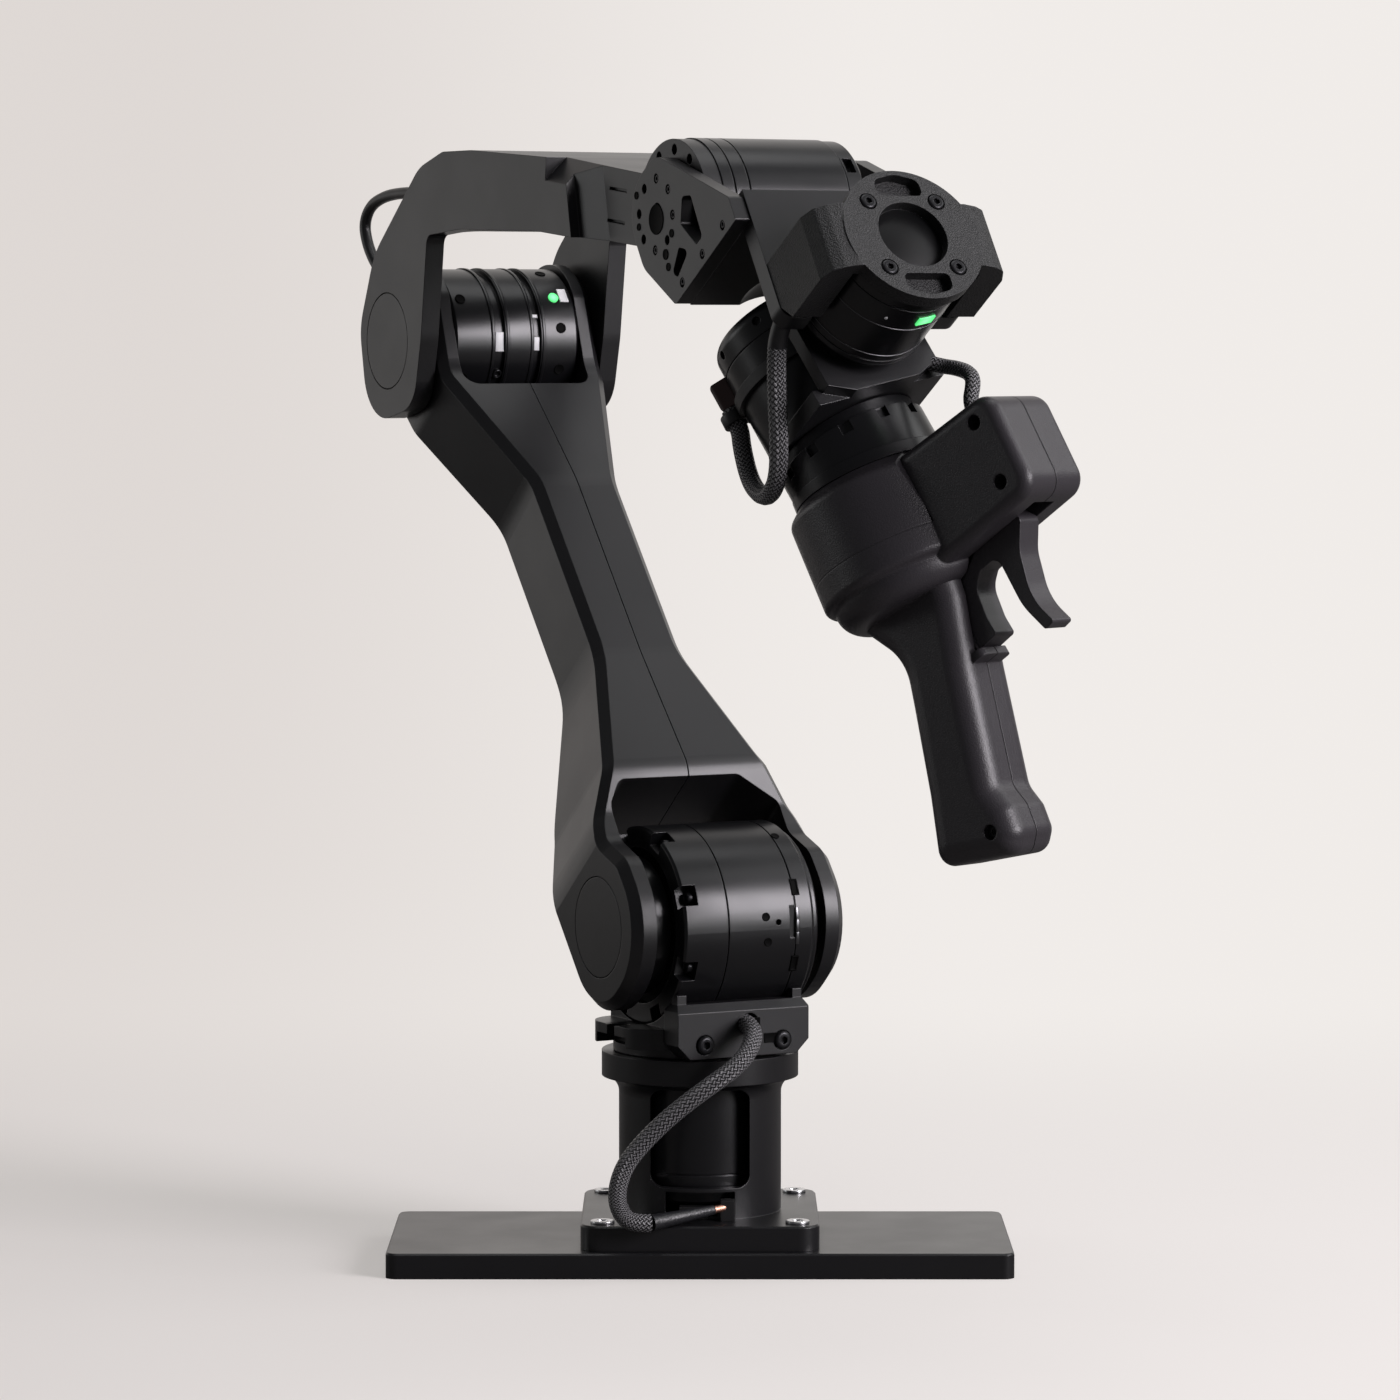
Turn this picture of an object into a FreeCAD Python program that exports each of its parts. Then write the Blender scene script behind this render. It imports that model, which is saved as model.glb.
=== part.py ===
"""Six-axis desktop robot arm with a pistol grip, standing on a flat plate.

Millimetres, +Z up, origin in the middle of the plate's underside. Each link is modelled in a
frame of its own and placed by the arm's pose: along the chain X runs down the link and Z runs
along the joint axes that lie across the arm.
"""
import FreeCAD, Part
import math
import os
import re

V = FreeCAD.Vector
doc = FreeCAD.newDocument("RobotArm")
sheet = doc.addObject("Spreadsheet::Sheet", "Sheet")

# Driving dimensions in millimetres and degrees.
SIZES = {
    # base
    "plate_width": 270.0, "plate_depth": 112.0, "plate_thick": 11.0, "plate_corner": 5.0,
    "edge_break": 0.8, "foot_size": 103.0, "foot_thick": 11.0, "foot_corner": 9.0,
    "foot_bolt_pitch": 84.0, "foot_bolt_radius": 2.5, "foot_head_radius": 5.0,
    "foot_head_height": 3.2, "column_radius": 35.5, "column_height": 70.0, "column_wall": 5.0,
    "rim_radius": 43.0, "rim_height": 11.0, "rim_fillet": 7.5, "motor_seat": 6.0,
    "seat_bore": 24.0, "window_width": 43.0, "window_sill": 13.5, "window_height": 43.0,
    "window_corner": 5.5, "doorway_width": 30.0, "doorway_height": 12.0,
    "base_motor_radius": 28.5, "base_motor_length": 58.0, "socket_width": 18.0,
    "socket_depth": 7.0, "socket_height": 9.0, "socket_wall": 1.4, "screw_gap": 0.1, "running_gap": 0.4,
    # shoulder
    "shoulder_height": 148.0, "turntable_radius": 38.0, "turntable_thick": 4.0,
    "hub_gap": 2.0, "bracket_length": 88.0, "bracket_depth": 54.0, "bracket_thick": 9.0,
    "saddle_length": 60.0, "seat_gap": 0.05, "shoulder_motor_radius": 43.0,
    "shoulder_body_length": 42.5, "shoulder_ring_length": 21.5, "shoulder_cover_length": 3.0,
    "shoulder_motor_offset": 34.0, "ring_notches": 8.0, "notch_turn": 22.5,
    "notch_width": 9.0, "notch_depth": 7.0,
    "ring_wall": 9.0, "bearing_radius": 12.0, "bearing_gap": 0.05, "cable_block_length": 64.0,
    "cable_block_depth": 13.0, "cable_block_height": 23.5, "cable_block_chamfer": 6.0,
    "lug_length": 4.5, "lug_height": 4.0, "block_screw_pitch": 38.0, "port_radius": 4.2,
    "block_screw_radius": 2.1, "block_sink_radius": 4.4, "block_sink_depth": 1.9,
    "block_screw_height": 6.0, "block_ease": 3.5,
    # upper arm
    "upper_length": 329.0, "flange_outer": 50.0, "flange_right": 54.0, "flange_thick": 10.6,
    "shoulder_round": 35.0, "seam_gap": 0.2,
    "cap_radius": 22.0, "cap_thick": 4.0, "cap_gap": 0.15, "waist_half": 21.5,
    "waist_front": 31.0, "waist_back": 14.0, "arm_bevel": 4.0, "waist_start": 125.0,
    "waist_end": 222.0, "mouth_top": 55.0, "elbow_round": 34.0, "clevis_outer": 41.5,
    "clevis_inner": 32.0, "elbow_window": 44.0, "output_radius": 30.0,
    "elbow_motor_radius": 33.5, "elbow_hub_radius": 18.0, "lamp_radius": 2.4, "lamp_high": 1.0,
    "lamp_turn": -93.6, "lamp_along": -21.0, "cavity_wall": 5.0,
    # forearm
    "fore_length": 270.4, "yoke_outer": 51.4, "leg_thick": 9.0, "yoke_back": 28.5, "yoke_low": 35.2,
    "elbow_cap_radius": 22.3, "beam_top": 72.0, "beam_right": 34.0, "mount_outer": 42.0,
    "mount_thick": 8.0, "mount_radius": 31.8, "mount_bore": 22.0, "wrist_motor_radius": 32.3,
    "wrist_motor_length": 60.0, "wrist_cover_length": 9.0, "wrist_hub_radius": 20.0,
    "bevel_length": 66.0, "bevel_wide": 5.0,
    "bevel_slope": 17.5,
    "groove_length": 16.0, "groove_wide": 1.3, "groove_deep": 2.0,
    # wrist
    "cheek_outer": 50.0, "cheek_thick": 7.0, "cheek_hub": 21.5, "cross_near": 37.0,
    "cross_thick": 4.5, "cross_low": -6.0, "slab_front": 57.5, "slab_thick": 8.5, "slab_end": 90.0,
    "yaw_offset": 78.75, "yaw_motor_radius": 29.0, "yaw_motor_length": 47.0,
    "yaw_cap_top": 101.5, "yaw_cap_radius": 31.0, "yaw_cap_thick": 6.5, "ear_outer": 42.6,
    "ear_half": 15.0, "ear_corner": 9.0, "yaw_gap": 0.6, "yaw_lamp_deep": 1.0,
    "yaw_lamp_wide": 8.0, "yaw_lamp_tall": 4.5, "yaw_lamp_drop": 15.7, "yaw_lamp_turn": 12.5,
    "cap_recess_radius": 15.5, "cap_recess_depth": 5.0,
    "cap_screw_circle": 22.5, "yaw_hub_radius": 24.0, "roll_plate_thick": 7.0,
    "roll_motor_radius": 32.5, "roll_motor_rear": 26.5, "roll_motor_front": 26.0,
    "clip_thick": 2.0, "clip_low": -2.0, "clip_high": 3.0, "clip_seat_floor": 0.5,
    "clip_seat_wide": 10.0, "clip_seat_turn": -135.0,
    "roll_wall_thick": 7.0, "roll_wall_radius": 32.5, "roll_bore": 20.0, "roll_hub_radius": 18.0,
    # handle
    "adapter_radius": 33.0, "adapter_start": 33.6, "flange_radius": 34.2, "flange_high": 5.0,
    "adapter_lip": 5.0, "adapter_notch": 5.0, "collar_start": 57.3, "collar_length": 33.5,
    "collar_ease": 5.0,
    "drum_top_radius": 33.6, "drum_radius": 39.0, "drum_end": 44.5, "foot_radius": 35.5,
    "foot_end": 57.0, "drum_round": 10.0,
    "drum_tilt": 7.5, "head_start": 29.5, "head_top": 63.0,
    "head_bottom": 112.0, "head_front": 81.0, "handle_half": 20.5, "head_round": 7.0,
    "grip_end": 226.0, "grip_width": 35.0, "grip_round": 9.5, "trigger_half": 6.5,
    "trigger_gap": 0.5, "ledge_start": 146.0, "ledge_half": 10.0, "ledge_high": 3.5,
    "trigger_pin_radius": 2.0, "trigger_pin_gap": 0.05,
    "screw_shank": 1.2, "screw_grip": 6.0, "well_radius": 3.2, "well_depth": 5.0,
    # cords and plugs
    "base_cord": 4.0, "wrist_cord": 4.0, "handle_cord": 3.2, "elbow_cord": 2.7,
    "plug_length": 32.0, "plug_mouth": 3.6, "plug_nose": 2.1, "tip_radius": 1.7, "tip_length": 7.0,
    "wrist_plug_length": 12.5, "wrist_plug_width": 7.5, "wrist_plug_high": 8.0,
    "wrist_plug_end": -4.0, "wrist_plug_turn": -45.0,
    # pose in the photograph
    "base_yaw": -61.8, "upper_pitch": 129.9, "fore_pitch": 11.5, "wrist_pitch": -56.5,
    "wrist_yaw": 13.0, "handle_roll": -19.2,
}
for row, (alias, value) in enumerate(SIZES.items(), start=1):
    sheet.set(f"A{row}", alias)
    sheet.set(f"B{row}", str(value))
    sheet.setAlias(f"B{row}", alias)
doc.recompute()


class Values:
    """The sheet's numbers as attributes, for outlines and places."""

    def __getattr__(self, alias):
        return float(getattr(sheet, alias))


S = Values()
ALIAS = re.compile(r"[a-z]+(?:_[a-z]+)*")


def bind(thing, prop, text):
    """Tie a property to a formula of the sheet's aliases."""
    formula = ALIAS.sub(lambda word: "Sheet." + word.group(0), text)
    thing.setExpression(prop, formula)


def move(shift, axis=(0, 0, 1), angle=0.0):
    """A placement from a shift and a turn about an axis."""
    return FreeCAD.Placement(V(*shift), FreeCAD.Rotation(V(*axis), angle))


# Frames along the arm, from the plate to the grip.
BASE = move((0, 0, 0))
TURN = move((0, 0, 0), (0, 0, 1), S.base_yaw)
SHOULDER = TURN * move((0, 0, S.shoulder_height), (1, 0, 0), 90)
UPPER = SHOULDER * move((0, 0, 0), (0, 0, 1), S.upper_pitch)
FORE = UPPER * move((S.upper_length, 0, 0), (0, 0, 1), S.fore_pitch - S.upper_pitch)
WRIST = FORE * move((S.fore_length, 0, 0), (0, 0, 1), S.wrist_pitch - S.fore_pitch)
YAW_AXIS = WRIST * move((S.yaw_offset, 0, 0), (1, 0, 0), -90)
YAW = WRIST * move((S.yaw_offset, 0, 0), (0, 1, 0), S.wrist_yaw)
YAW_OUT = YAW * move((0, 0, 0), (1, 0, 0), -90)
ROLL_AXIS = YAW * move((0, 0, 0), (0, 1, 0), 90)
HANDLE = YAW * move((0, 0, 0), (1, 0, 0), S.handle_roll)
HANDLE_AXIS = HANDLE * move((0, 0, 0), (0, 1, 0), 90)

nodes = {}


def node(label, thing, frame):
    """Name a finished piece and put it in its link's frame."""
    thing.Label = label
    nodes[label] = (thing, frame)
    return thing


def rounded(points):
    """Lines and arcs of a closed outline whose corners are (x, y) or (x, y, radius)."""
    corners = [(V(p[0], p[1], 0), p[2] if len(p) > 2 else 0.0) for p in points]
    ends = []
    for i, (here, radius) in enumerate(corners):
        back = (corners[i - 1][0] - here).normalize()
        ahead = (corners[(i + 1) % len(corners)][0] - here).normalize()
        half = back.getAngle(ahead) / 2
        run = radius / math.tan(half)
        middle = here + (back + ahead).normalize() * (radius / math.sin(half) - radius)
        ends.append((here + back * run, middle, here + ahead * run))
    edges = []
    for i, (start, middle, end) in enumerate(ends):
        if (end - start).Length > 1e-6:
            edges.append(Part.Arc(start, middle, end))
        following = ends[(i + 1) % len(ends)][0]
        if (following - end).Length > 1e-6:
            edges.append(Part.LineSegment(end, following))
    return edges


def draw(body, plane, *outlines):
    """A sketch of outlines on one of a body's own planes."""
    sketch = body.newObject("Sketcher::SketchObject", "Sketch")
    role = plane + "_Plane"
    support = [f for f in body.Origin.OriginFeatures if f.Role == role][0]
    sketch.AttachmentSupport = [(support, "")]
    sketch.MapMode = "FlatFace"
    for outline in outlines:
        sketch.addGeometry(outline, False)
    return sketch


def padded(plane, thick, *outlines, start="0", both=False):
    """A body padded from outlines; start is the sketch's own offset from its plane."""
    body = doc.addObject("PartDesign::Body", "Body")
    sketch = draw(body, plane, *outlines)
    bind(sketch, "AttachmentOffset.Base.z", start)
    pad = body.newObject("PartDesign::Pad", "Pad")
    pad.Profile = sketch
    pad.Midplane = both
    bind(pad, "Length", thick)
    return body


def turned(profile, name="Turned"):
    """A body revolved about Z from a profile of (radius, height) corners."""
    body = doc.addObject("PartDesign::Body", name)
    sketch = draw(body, "XZ", rounded(profile))
    revolve = body.newObject("PartDesign::Revolution", "Revolution")
    revolve.Profile = sketch
    revolve.ReferenceAxis = (sketch, ["V_Axis"])
    revolve.Angle = 360
    return body


def placed(thing, shift, axis=(0, 0, 1), angle=0.0):
    """The same object at a place of its own."""
    thing.Placement = move(shift, axis, angle)
    return thing


def rod(radius, length, shift, axis=(0, 0, 1), angle=0.0):
    """A cylinder bound to the sheet."""
    thing = doc.addObject("Part::Cylinder", "Rod")
    bind(thing, "Radius", radius)
    bind(thing, "Height", length)
    return placed(thing, shift, axis, angle)


def ball(radius, shift):
    """A sphere bound to the sheet."""
    thing = doc.addObject("Part::Sphere", "Ball")
    bind(thing, "Radius", radius)
    return placed(thing, shift)


def block(length, width, height, shift, axis=(0, 0, 1), angle=0.0):
    """A box bound to the sheet."""
    thing = doc.addObject("Part::Box", "Block")
    bind(thing, "Length", length)
    bind(thing, "Width", width)
    bind(thing, "Height", height)
    return placed(thing, shift, axis, angle)


def fused(*things):
    """Several objects as one solid."""
    whole = doc.addObject("Part::MultiFuse", "Fused")
    whole.Shapes = list(things)
    whole.Refine = True
    return whole


def cut(base, *tools):
    """A base less its tools."""
    result = doc.addObject("Part::Cut", "Cut")
    result.Base = base
    result.Tool = tools[0] if len(tools) == 1 else grouped(*tools)
    return result


def common(first, second):
    """What two objects share."""
    result = doc.addObject("Part::Common", "Common")
    result.Base = first
    result.Tool = second
    return result


def grouped(*things):
    """Separate solids kept together in one object."""
    group = doc.addObject("Part::Compound", "Group")
    group.Links = list(things)
    return group


def eased(thing, kind, radius, wanted):
    """Fillet or chamfer the edges that a test picks, by one size."""
    doc.recompute()
    result = doc.addObject(kind, "Eased")
    result.Base = thing
    picked = [i for i, edge in enumerate(thing.Shape.Edges, start=1) if wanted(edge)]
    result.Edges = [(i, radius, radius) for i in picked]
    return result


def level(edge, height, axis="z"):
    """Whether every point of an edge lies at one height along an axis."""
    box = edge.BoundBox
    low, high = getattr(box, axis.upper() + "Min"), getattr(box, axis.upper() + "Max")
    return abs(low - height) < 1e-3 and abs(high - height) < 1e-3


def rectangle(width, depth, corner=0.0, x=0.0, y=0.0):
    """A rectangle about a point, with rounded corners."""
    w, d = width / 2, depth / 2
    return rounded([(x - w, y - d, corner), (x + w, y - d, corner),
                    (x + w, y + d, corner), (x - w, y + d, corner)])


def around(count, radius, start=0.0):
    """Points evenly spread on a circle, with their angles."""
    for i in range(count):
        angle = start + 360.0 * i / count
        yield angle, radius * math.cos(math.radians(angle)), radius * math.sin(math.radians(angle))


def cap_screw(head, head_high, shank, shank_long):
    """A round-headed screw standing on its seat at height zero, with a hexagon socket."""
    solid = turned([(0, -shank_long), (shank, -shank_long), (shank, 0), (head, 0),
                    (head, head_high, head_high * 0.4), (0, head_high)], "Screw")
    socket = [(head * 0.45 * math.cos(math.radians(60 * i)),
               head * 0.45 * math.sin(math.radians(60 * i))) for i in range(6)]
    sketch = draw(solid, "XY", rounded(socket))
    sketch.AttachmentOffset = move((0, 0, head_high))
    pocket = solid.newObject("PartDesign::Pocket", "Pocket")
    pocket.Profile = sketch
    pocket.Length = head_high * 0.6
    return solid


def cord(radius, points):
    """A tube along straight runs joined by arcs as large as the runs leave room for."""
    spots = [V(*point) for point in points]
    edges, bends = [], []
    start = spots[0]
    for before, here, after in zip(spots, spots[1:], spots[2:]):
        back, ahead = before - here, after - here
        run = 0.45 * min(back.Length, ahead.Length)
        half = back.getAngle(ahead) / 2
        bend = run * math.tan(half)
        back.normalize()
        ahead.normalize()
        middle = here + (back + ahead).normalize() * (bend / math.sin(half) - bend)
        edges.append(Part.LineSegment(start, here + back * run).toShape())
        edges.append(Part.Arc(here + back * run, middle, here + ahead * run).toShape())
        bends.append(round(bend, 1))
        start = here + ahead * run
    edges.append(Part.LineSegment(start, spots[-1]).toShape())
    path = Part.Wire(edges)
    ring = Part.Wire(Part.Circle(spots[0], spots[1] - spots[0], radius).toShape())
    tube = path.makePipeShell([ring], True, False)
    wanted = math.pi * radius ** 2 * path.Length
    print("cord radii", bends, "volume to section by length", round(tube.Volume / wanted, 4))
    thing = doc.addObject("Part::Feature", "Cord")
    thing.Shape = tube
    return thing


# Base: plate, pedestal with its window, the base motor, its socket and the foot screws.
foot_top = S.plate_thick + S.foot_thick
rim_top = foot_top + S.column_height
seat_under = rim_top - S.motor_seat
foot_spots = [(x, y) for _, x, y in around(4, S.foot_bolt_pitch / math.sqrt(2), 45)]


def base_plate():
    """Rectangular plate with rounded corners, broken edges and four screw holes."""
    plate = padded("XY", "plate_thick", rectangle(S.plate_width, S.plate_depth, S.plate_corner))
    soft = eased(plate, "Part::Chamfer", S.edge_break, lambda e: level(e, S.plate_thick))
    holes = [rod("foot_bolt_radius + screw_gap", "plate_thick", (x, y, S.plate_thick * 0.36))
             for x, y in foot_spots]
    return cut(soft, *holes)


def pedestal():
    """Square foot, column with a rim, motor bore, window and doorway."""
    foot = padded("XY", "foot_thick", rectangle(S.foot_size, S.foot_size, S.foot_corner),
                  start="plate_thick")
    foot = eased(foot, "Part::Chamfer", S.edge_break, lambda e: level(e, foot_top))
    bore = S.column_radius - S.column_wall
    column = turned([(0, foot_top - 3), (S.column_radius, foot_top - 3),
                     (S.column_radius, rim_top - S.rim_height, S.rim_fillet),
                     (S.rim_radius, rim_top - S.rim_height), (S.rim_radius, rim_top),
                     (S.seat_bore, rim_top), (S.seat_bore, seat_under), (bore, seat_under),
                     (bore, foot_top), (0, foot_top)])
    reach = S.column_radius
    sill = foot_top + S.window_sill
    window = padded("XZ", "column_radius",
                    rectangle(S.window_width, S.window_height, S.window_corner,
                              y=sill + S.window_height / 2), start="column_radius * 0.3")
    doorway = block("doorway_width", "column_radius * 0.6", "doorway_height",
                    (-S.doorway_width / 2, -reach * 1.2, foot_top))
    holes = [rod("foot_bolt_radius + screw_gap", "foot_thick * 3", (x, y, 0))
             for x, y in foot_spots]
    return cut(fused(foot, column), window, doorway, *holes)


def base_motor():
    """Motor that hangs from the seat at the column's top, with two shallow seams."""
    r, low, high = S.base_motor_radius, seat_under - S.base_motor_length, seat_under
    return turned([(0, low), (r - 1, low), (r, low + 1), (r, low + 12), (r - 0.6, low + 12),
                   (r - 0.6, low + 12.8), (r, low + 12.8), (r, high), (0, high)])


def foot_screws():
    """Four screws that hold the pedestal to the plate."""
    screws = []
    for x, y in foot_spots:
        screw = cap_screw(S.foot_head_radius, S.foot_head_height, S.foot_bolt_radius,
                          S.foot_thick + S.plate_thick * 0.55)
        screws.append(placed(screw, (x, y, foot_top)))
    return grouped(*screws)


def base_socket():
    """Cable socket standing in the doorway, with a block at its right that takes the plug's tip."""
    front = -S.column_radius + 2
    rim = S.socket_wall
    back = block("socket_width", "socket_depth", "socket_height * 0.6",
                 (-S.socket_width / 2, front, foot_top))
    mouth = block("socket_width - socket_wall * 2", "socket_depth", "socket_height * 0.6 - socket_wall * 2",
                  (-S.socket_width / 2 + rim, front - rim, foot_top + rim))
    right = block("socket_depth - 1", "socket_depth", "socket_height",
                  (S.socket_width / 2 - 0.1, front - S.socket_depth * 0.7, foot_top))
    return fused(cut(back, mouth), right)


# The base cord's plug lies between these two points.
PLUG_MOUTH = (-20.9, -57.5, 24.6)
CORD_END = (-23.6, -58.3, 24.6)
PLUG_NOSE = (5.7, -40.0, 27.4)


def plug_frame():
    """Frame at the plug's mouth, with Z along the plug."""
    way = V(*PLUG_NOSE) - V(*PLUG_MOUTH)
    return FreeCAD.Placement(V(*PLUG_MOUTH), FreeCAD.Rotation(V(0, 0, 1), way))


def base_plug():
    """Shrunk sleeve that tapers from the cord to the plug's tip."""
    sleeve = doc.addObject("Part::Cone", "Sleeve")
    bind(sleeve, "Radius1", "plug_mouth")
    bind(sleeve, "Radius2", "plug_nose")
    bind(sleeve, "Height", "plug_length")
    return sleeve


def base_plug_tip():
    """Bare metal tip of the plug."""
    return rod("tip_radius", "tip_length", (0, 0, S.plug_length))


node("base_plate", base_plate(), BASE)
node("pedestal", pedestal(), BASE)
node("base_motor", base_motor(), BASE)
node("foot_screws", foot_screws(), BASE)
node("base_socket", base_socket(), BASE)
node("base_plug", base_plug(), plug_frame())
node("base_plug_tip", base_plug_tip(), plug_frame())

# Shoulder: turntable, bracket under the motor, cable block and the motor itself.
turn_under = rim_top + S.running_gap
turn_top = turn_under + S.turntable_thick
bracket_front = S.bracket_depth / 2
block_low = turn_under + 1.0


def turntable():
    """Disc that turns on the base motor, flat at the cable block, with a hub through the seat."""
    hub = S.seat_bore - S.hub_gap
    solid = turned([(0, seat_under + S.running_gap), (hub, seat_under + S.running_gap),
                    (hub, turn_under), (S.turntable_radius, turn_under),
                    (S.turntable_radius, turn_top), (0, turn_top)])
    flat = block("turntable_radius", "turntable_radius * 2", "turntable_thick * 2",
                 (bracket_front, -S.turntable_radius, turn_under))
    return cut(solid, flat)


def shoulder_bracket():
    """Wide foot with slotted ends and a saddle that the shoulder motor lies in."""
    half = S.bracket_length / 2
    foot = padded("XY", "bracket_thick",
                  rectangle(S.bracket_depth, S.bracket_length, S.bracket_depth * 0.3),
                  start=f"{turn_top}")
    top = turn_top + S.bracket_thick
    rise = S.shoulder_height - S.shoulder_motor_radius * 0.45
    saddle = padded("XZ", "saddle_length",
                    rounded([(-bracket_front, turn_top), (bracket_front, turn_top),
                             (bracket_front, rise - 9), (bracket_front - 6, rise),
                             (-bracket_front + 6, rise), (-bracket_front, rise - 9)]), both=True)
    lying = rod("shoulder_motor_radius + seat_gap", "bracket_length * 2",
                (0, S.bracket_length, S.shoulder_height), (1, 0, 0), 90)
    slots = []
    for side in (-1, 1):
        slots.append(padded("XY", "bracket_thick",
                            rectangle(7, 18, 3.4, y=side * half), start=f"{top - 5}"))
        slots.append(block("bracket_depth * 0.5", "10", "4.5",
                           (-S.bracket_depth * 0.25, side * (half - 4) - 5, turn_top)))
    return cut(fused(foot, saddle), lying, *slots)


def cable_block():
    """Chamfered block on the bracket's front, with two lugs and a cable port."""
    half, high, c = S.cable_block_length / 2, S.cable_block_height, S.cable_block_chamfer
    low, top = block_low, block_low + high
    body = padded("YZ", "cable_block_depth",
                  rounded([(-half + c, low), (half - c, low), (half, low + c), (half, top - 3),
                           (half - 1.5, top), (-half + 1.5, top), (-half, top - 3),
                           (-half, low + c)]), start="bracket_depth / 2")
    front = bracket_front + S.cable_block_depth
    body = eased(body, "Part::Chamfer", S.block_ease, lambda e: level(e, front, "x") and level(e, top))
    lugs = [block("5", "lug_length", "lug_height + 2",
                  (front - 8.8, side * (half - 1.5) - (S.lug_length if side > 0 else 0), top - 2))
            for side in (-1, 1)]
    port = rod("port_radius", "8", (front - 7.9, 3, top - 9), (0, 1, 0), 90)
    row = low + S.block_screw_height
    sinks = [rod("block_sink_radius", "block_sink_depth * 2", (front - S.block_sink_depth, y, row),
                 (0, 1, 0), 90) for y in screw_places()]
    ways = [rod("block_screw_radius", "cable_block_depth", (front - S.cable_block_depth + 1, y, row),
                (0, 1, 0), 90) for y in screw_places()]
    lying = rod("shoulder_motor_radius + seat_gap", "bracket_length * 2",
                (0, S.bracket_length, S.shoulder_height), (1, 0, 0), 90)
    return cut(fused(body, *lugs), lying, port, *sinks, *ways)


def screw_places():
    """Where the cable block's two screws stand, across the arm."""
    return (-S.block_screw_pitch / 2, S.block_screw_pitch / 2)


def block_screws():
    """Two socket screws in the cable block's front."""
    front = bracket_front + S.cable_block_depth
    row = block_low + S.block_screw_height
    return grouped(*[placed(cap_screw(4.0, 3.6, 2.0, 8), (front - S.block_sink_depth, y, row),
                            (0, 1, 0), 90) for y in screw_places()])


body_low = -S.shoulder_motor_offset
body_high = body_low + S.shoulder_body_length
ring_high = body_high + S.shoulder_ring_length


def shoulder_motor():
    """Main housing of the shoulder motor with its seam and a side window."""
    r, low, high, seam = S.shoulder_motor_radius, body_low, body_high, body_low + 9.5
    solid = turned([(0, low), (r - 2, low), (r, low + 2), (r, seam), (r - 0.6, seam),
                    (r - 0.6, seam + 0.7), (r, seam + 0.7), (r, high), (0, high)])
    window = block("2.4", "17", "3.0", (r - 1.2, -4, seam + 0.3))
    drill = rod("1.3", "6", (r - 4, 3, seam + 9), (0, 1, 0), 90)
    return cut(solid, window, drill)


def shoulder_motor_ring():
    """Castellated front ring of the shoulder motor."""
    r, low, high = S.shoulder_motor_radius, body_high, ring_high
    ring = turned([(r - S.ring_wall, low), (r - 0.7, low), (r - 0.7, low + 0.6), (r, low + 0.6),
                   (r, high - 1), (r - 1, high), (r - S.ring_wall, high)])
    notches = [block("ring_wall * 2", "notch_width", "notch_depth * 2",
                     (x - math.sin(math.radians(a)) * -S.notch_width / 2,
                      y - math.cos(math.radians(a)) * S.notch_width / 2,
                      high - S.notch_depth), (0, 0, 1), a)
               for a, x, y in around(int(S.ring_notches), r - S.ring_wall * 0.7, S.notch_turn)]
    return cut(ring, *notches)


def shoulder_motor_cover():
    """Rear cover of the shoulder motor with the journal of the far bearing."""
    r, high = S.shoulder_motor_radius - 3, body_low
    low = high - S.shoulder_cover_length
    end = -S.flange_right + S.cap_thick + 0.6
    return turned([(0, end), (S.bearing_radius, end), (S.bearing_radius, low), (r - 1, low),
                   (r, low + 1), (r, high), (0, high)])


def shoulder_stator():
    """Core of the shoulder motor behind the castellated ring."""
    r = S.shoulder_motor_radius - S.ring_wall
    return turned([(0, body_high), (r, body_high), (r, ring_high - 3), (0, ring_high - 3)])


BASE_ROUTE = [
    (17.7, -26.8, 107.9), (23.2, -44.0, 107.3), (22.3, -54.0, 100.4), (15.8, -60.0, 92.2),
    (3.5, -62.0, 83.9), (-12.3, -61.0, 71.7), (-25.1, -59.0, 58.9), (-32.9, -58.0, 48.4),
    (-35.9, -58.0, 37.2), (-34.1, -59.0, 29.2), (-29.0, -59.8, 24.6), CORD_END,
]

node("turntable", turntable(), TURN)
node("shoulder_bracket", shoulder_bracket(), TURN)
node("cable_block", cable_block(), TURN)
node("block_screws", block_screws(), TURN)
node("shoulder_motor", shoulder_motor(), SHOULDER)
node("shoulder_motor_ring", shoulder_motor_ring(), SHOULDER)
node("shoulder_motor_core", shoulder_stator(), SHOULDER)
node("shoulder_motor_cover", shoulder_motor_cover(), SHOULDER)
node("base_cord", cord(S.base_cord, BASE_ROUTE), BASE)

# Upper arm: two mirrored shells that meet in the middle plane, caps and the output flange.
flange_inner = S.flange_outer - S.flange_thick
right_inner = S.flange_right - S.flange_thick


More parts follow.
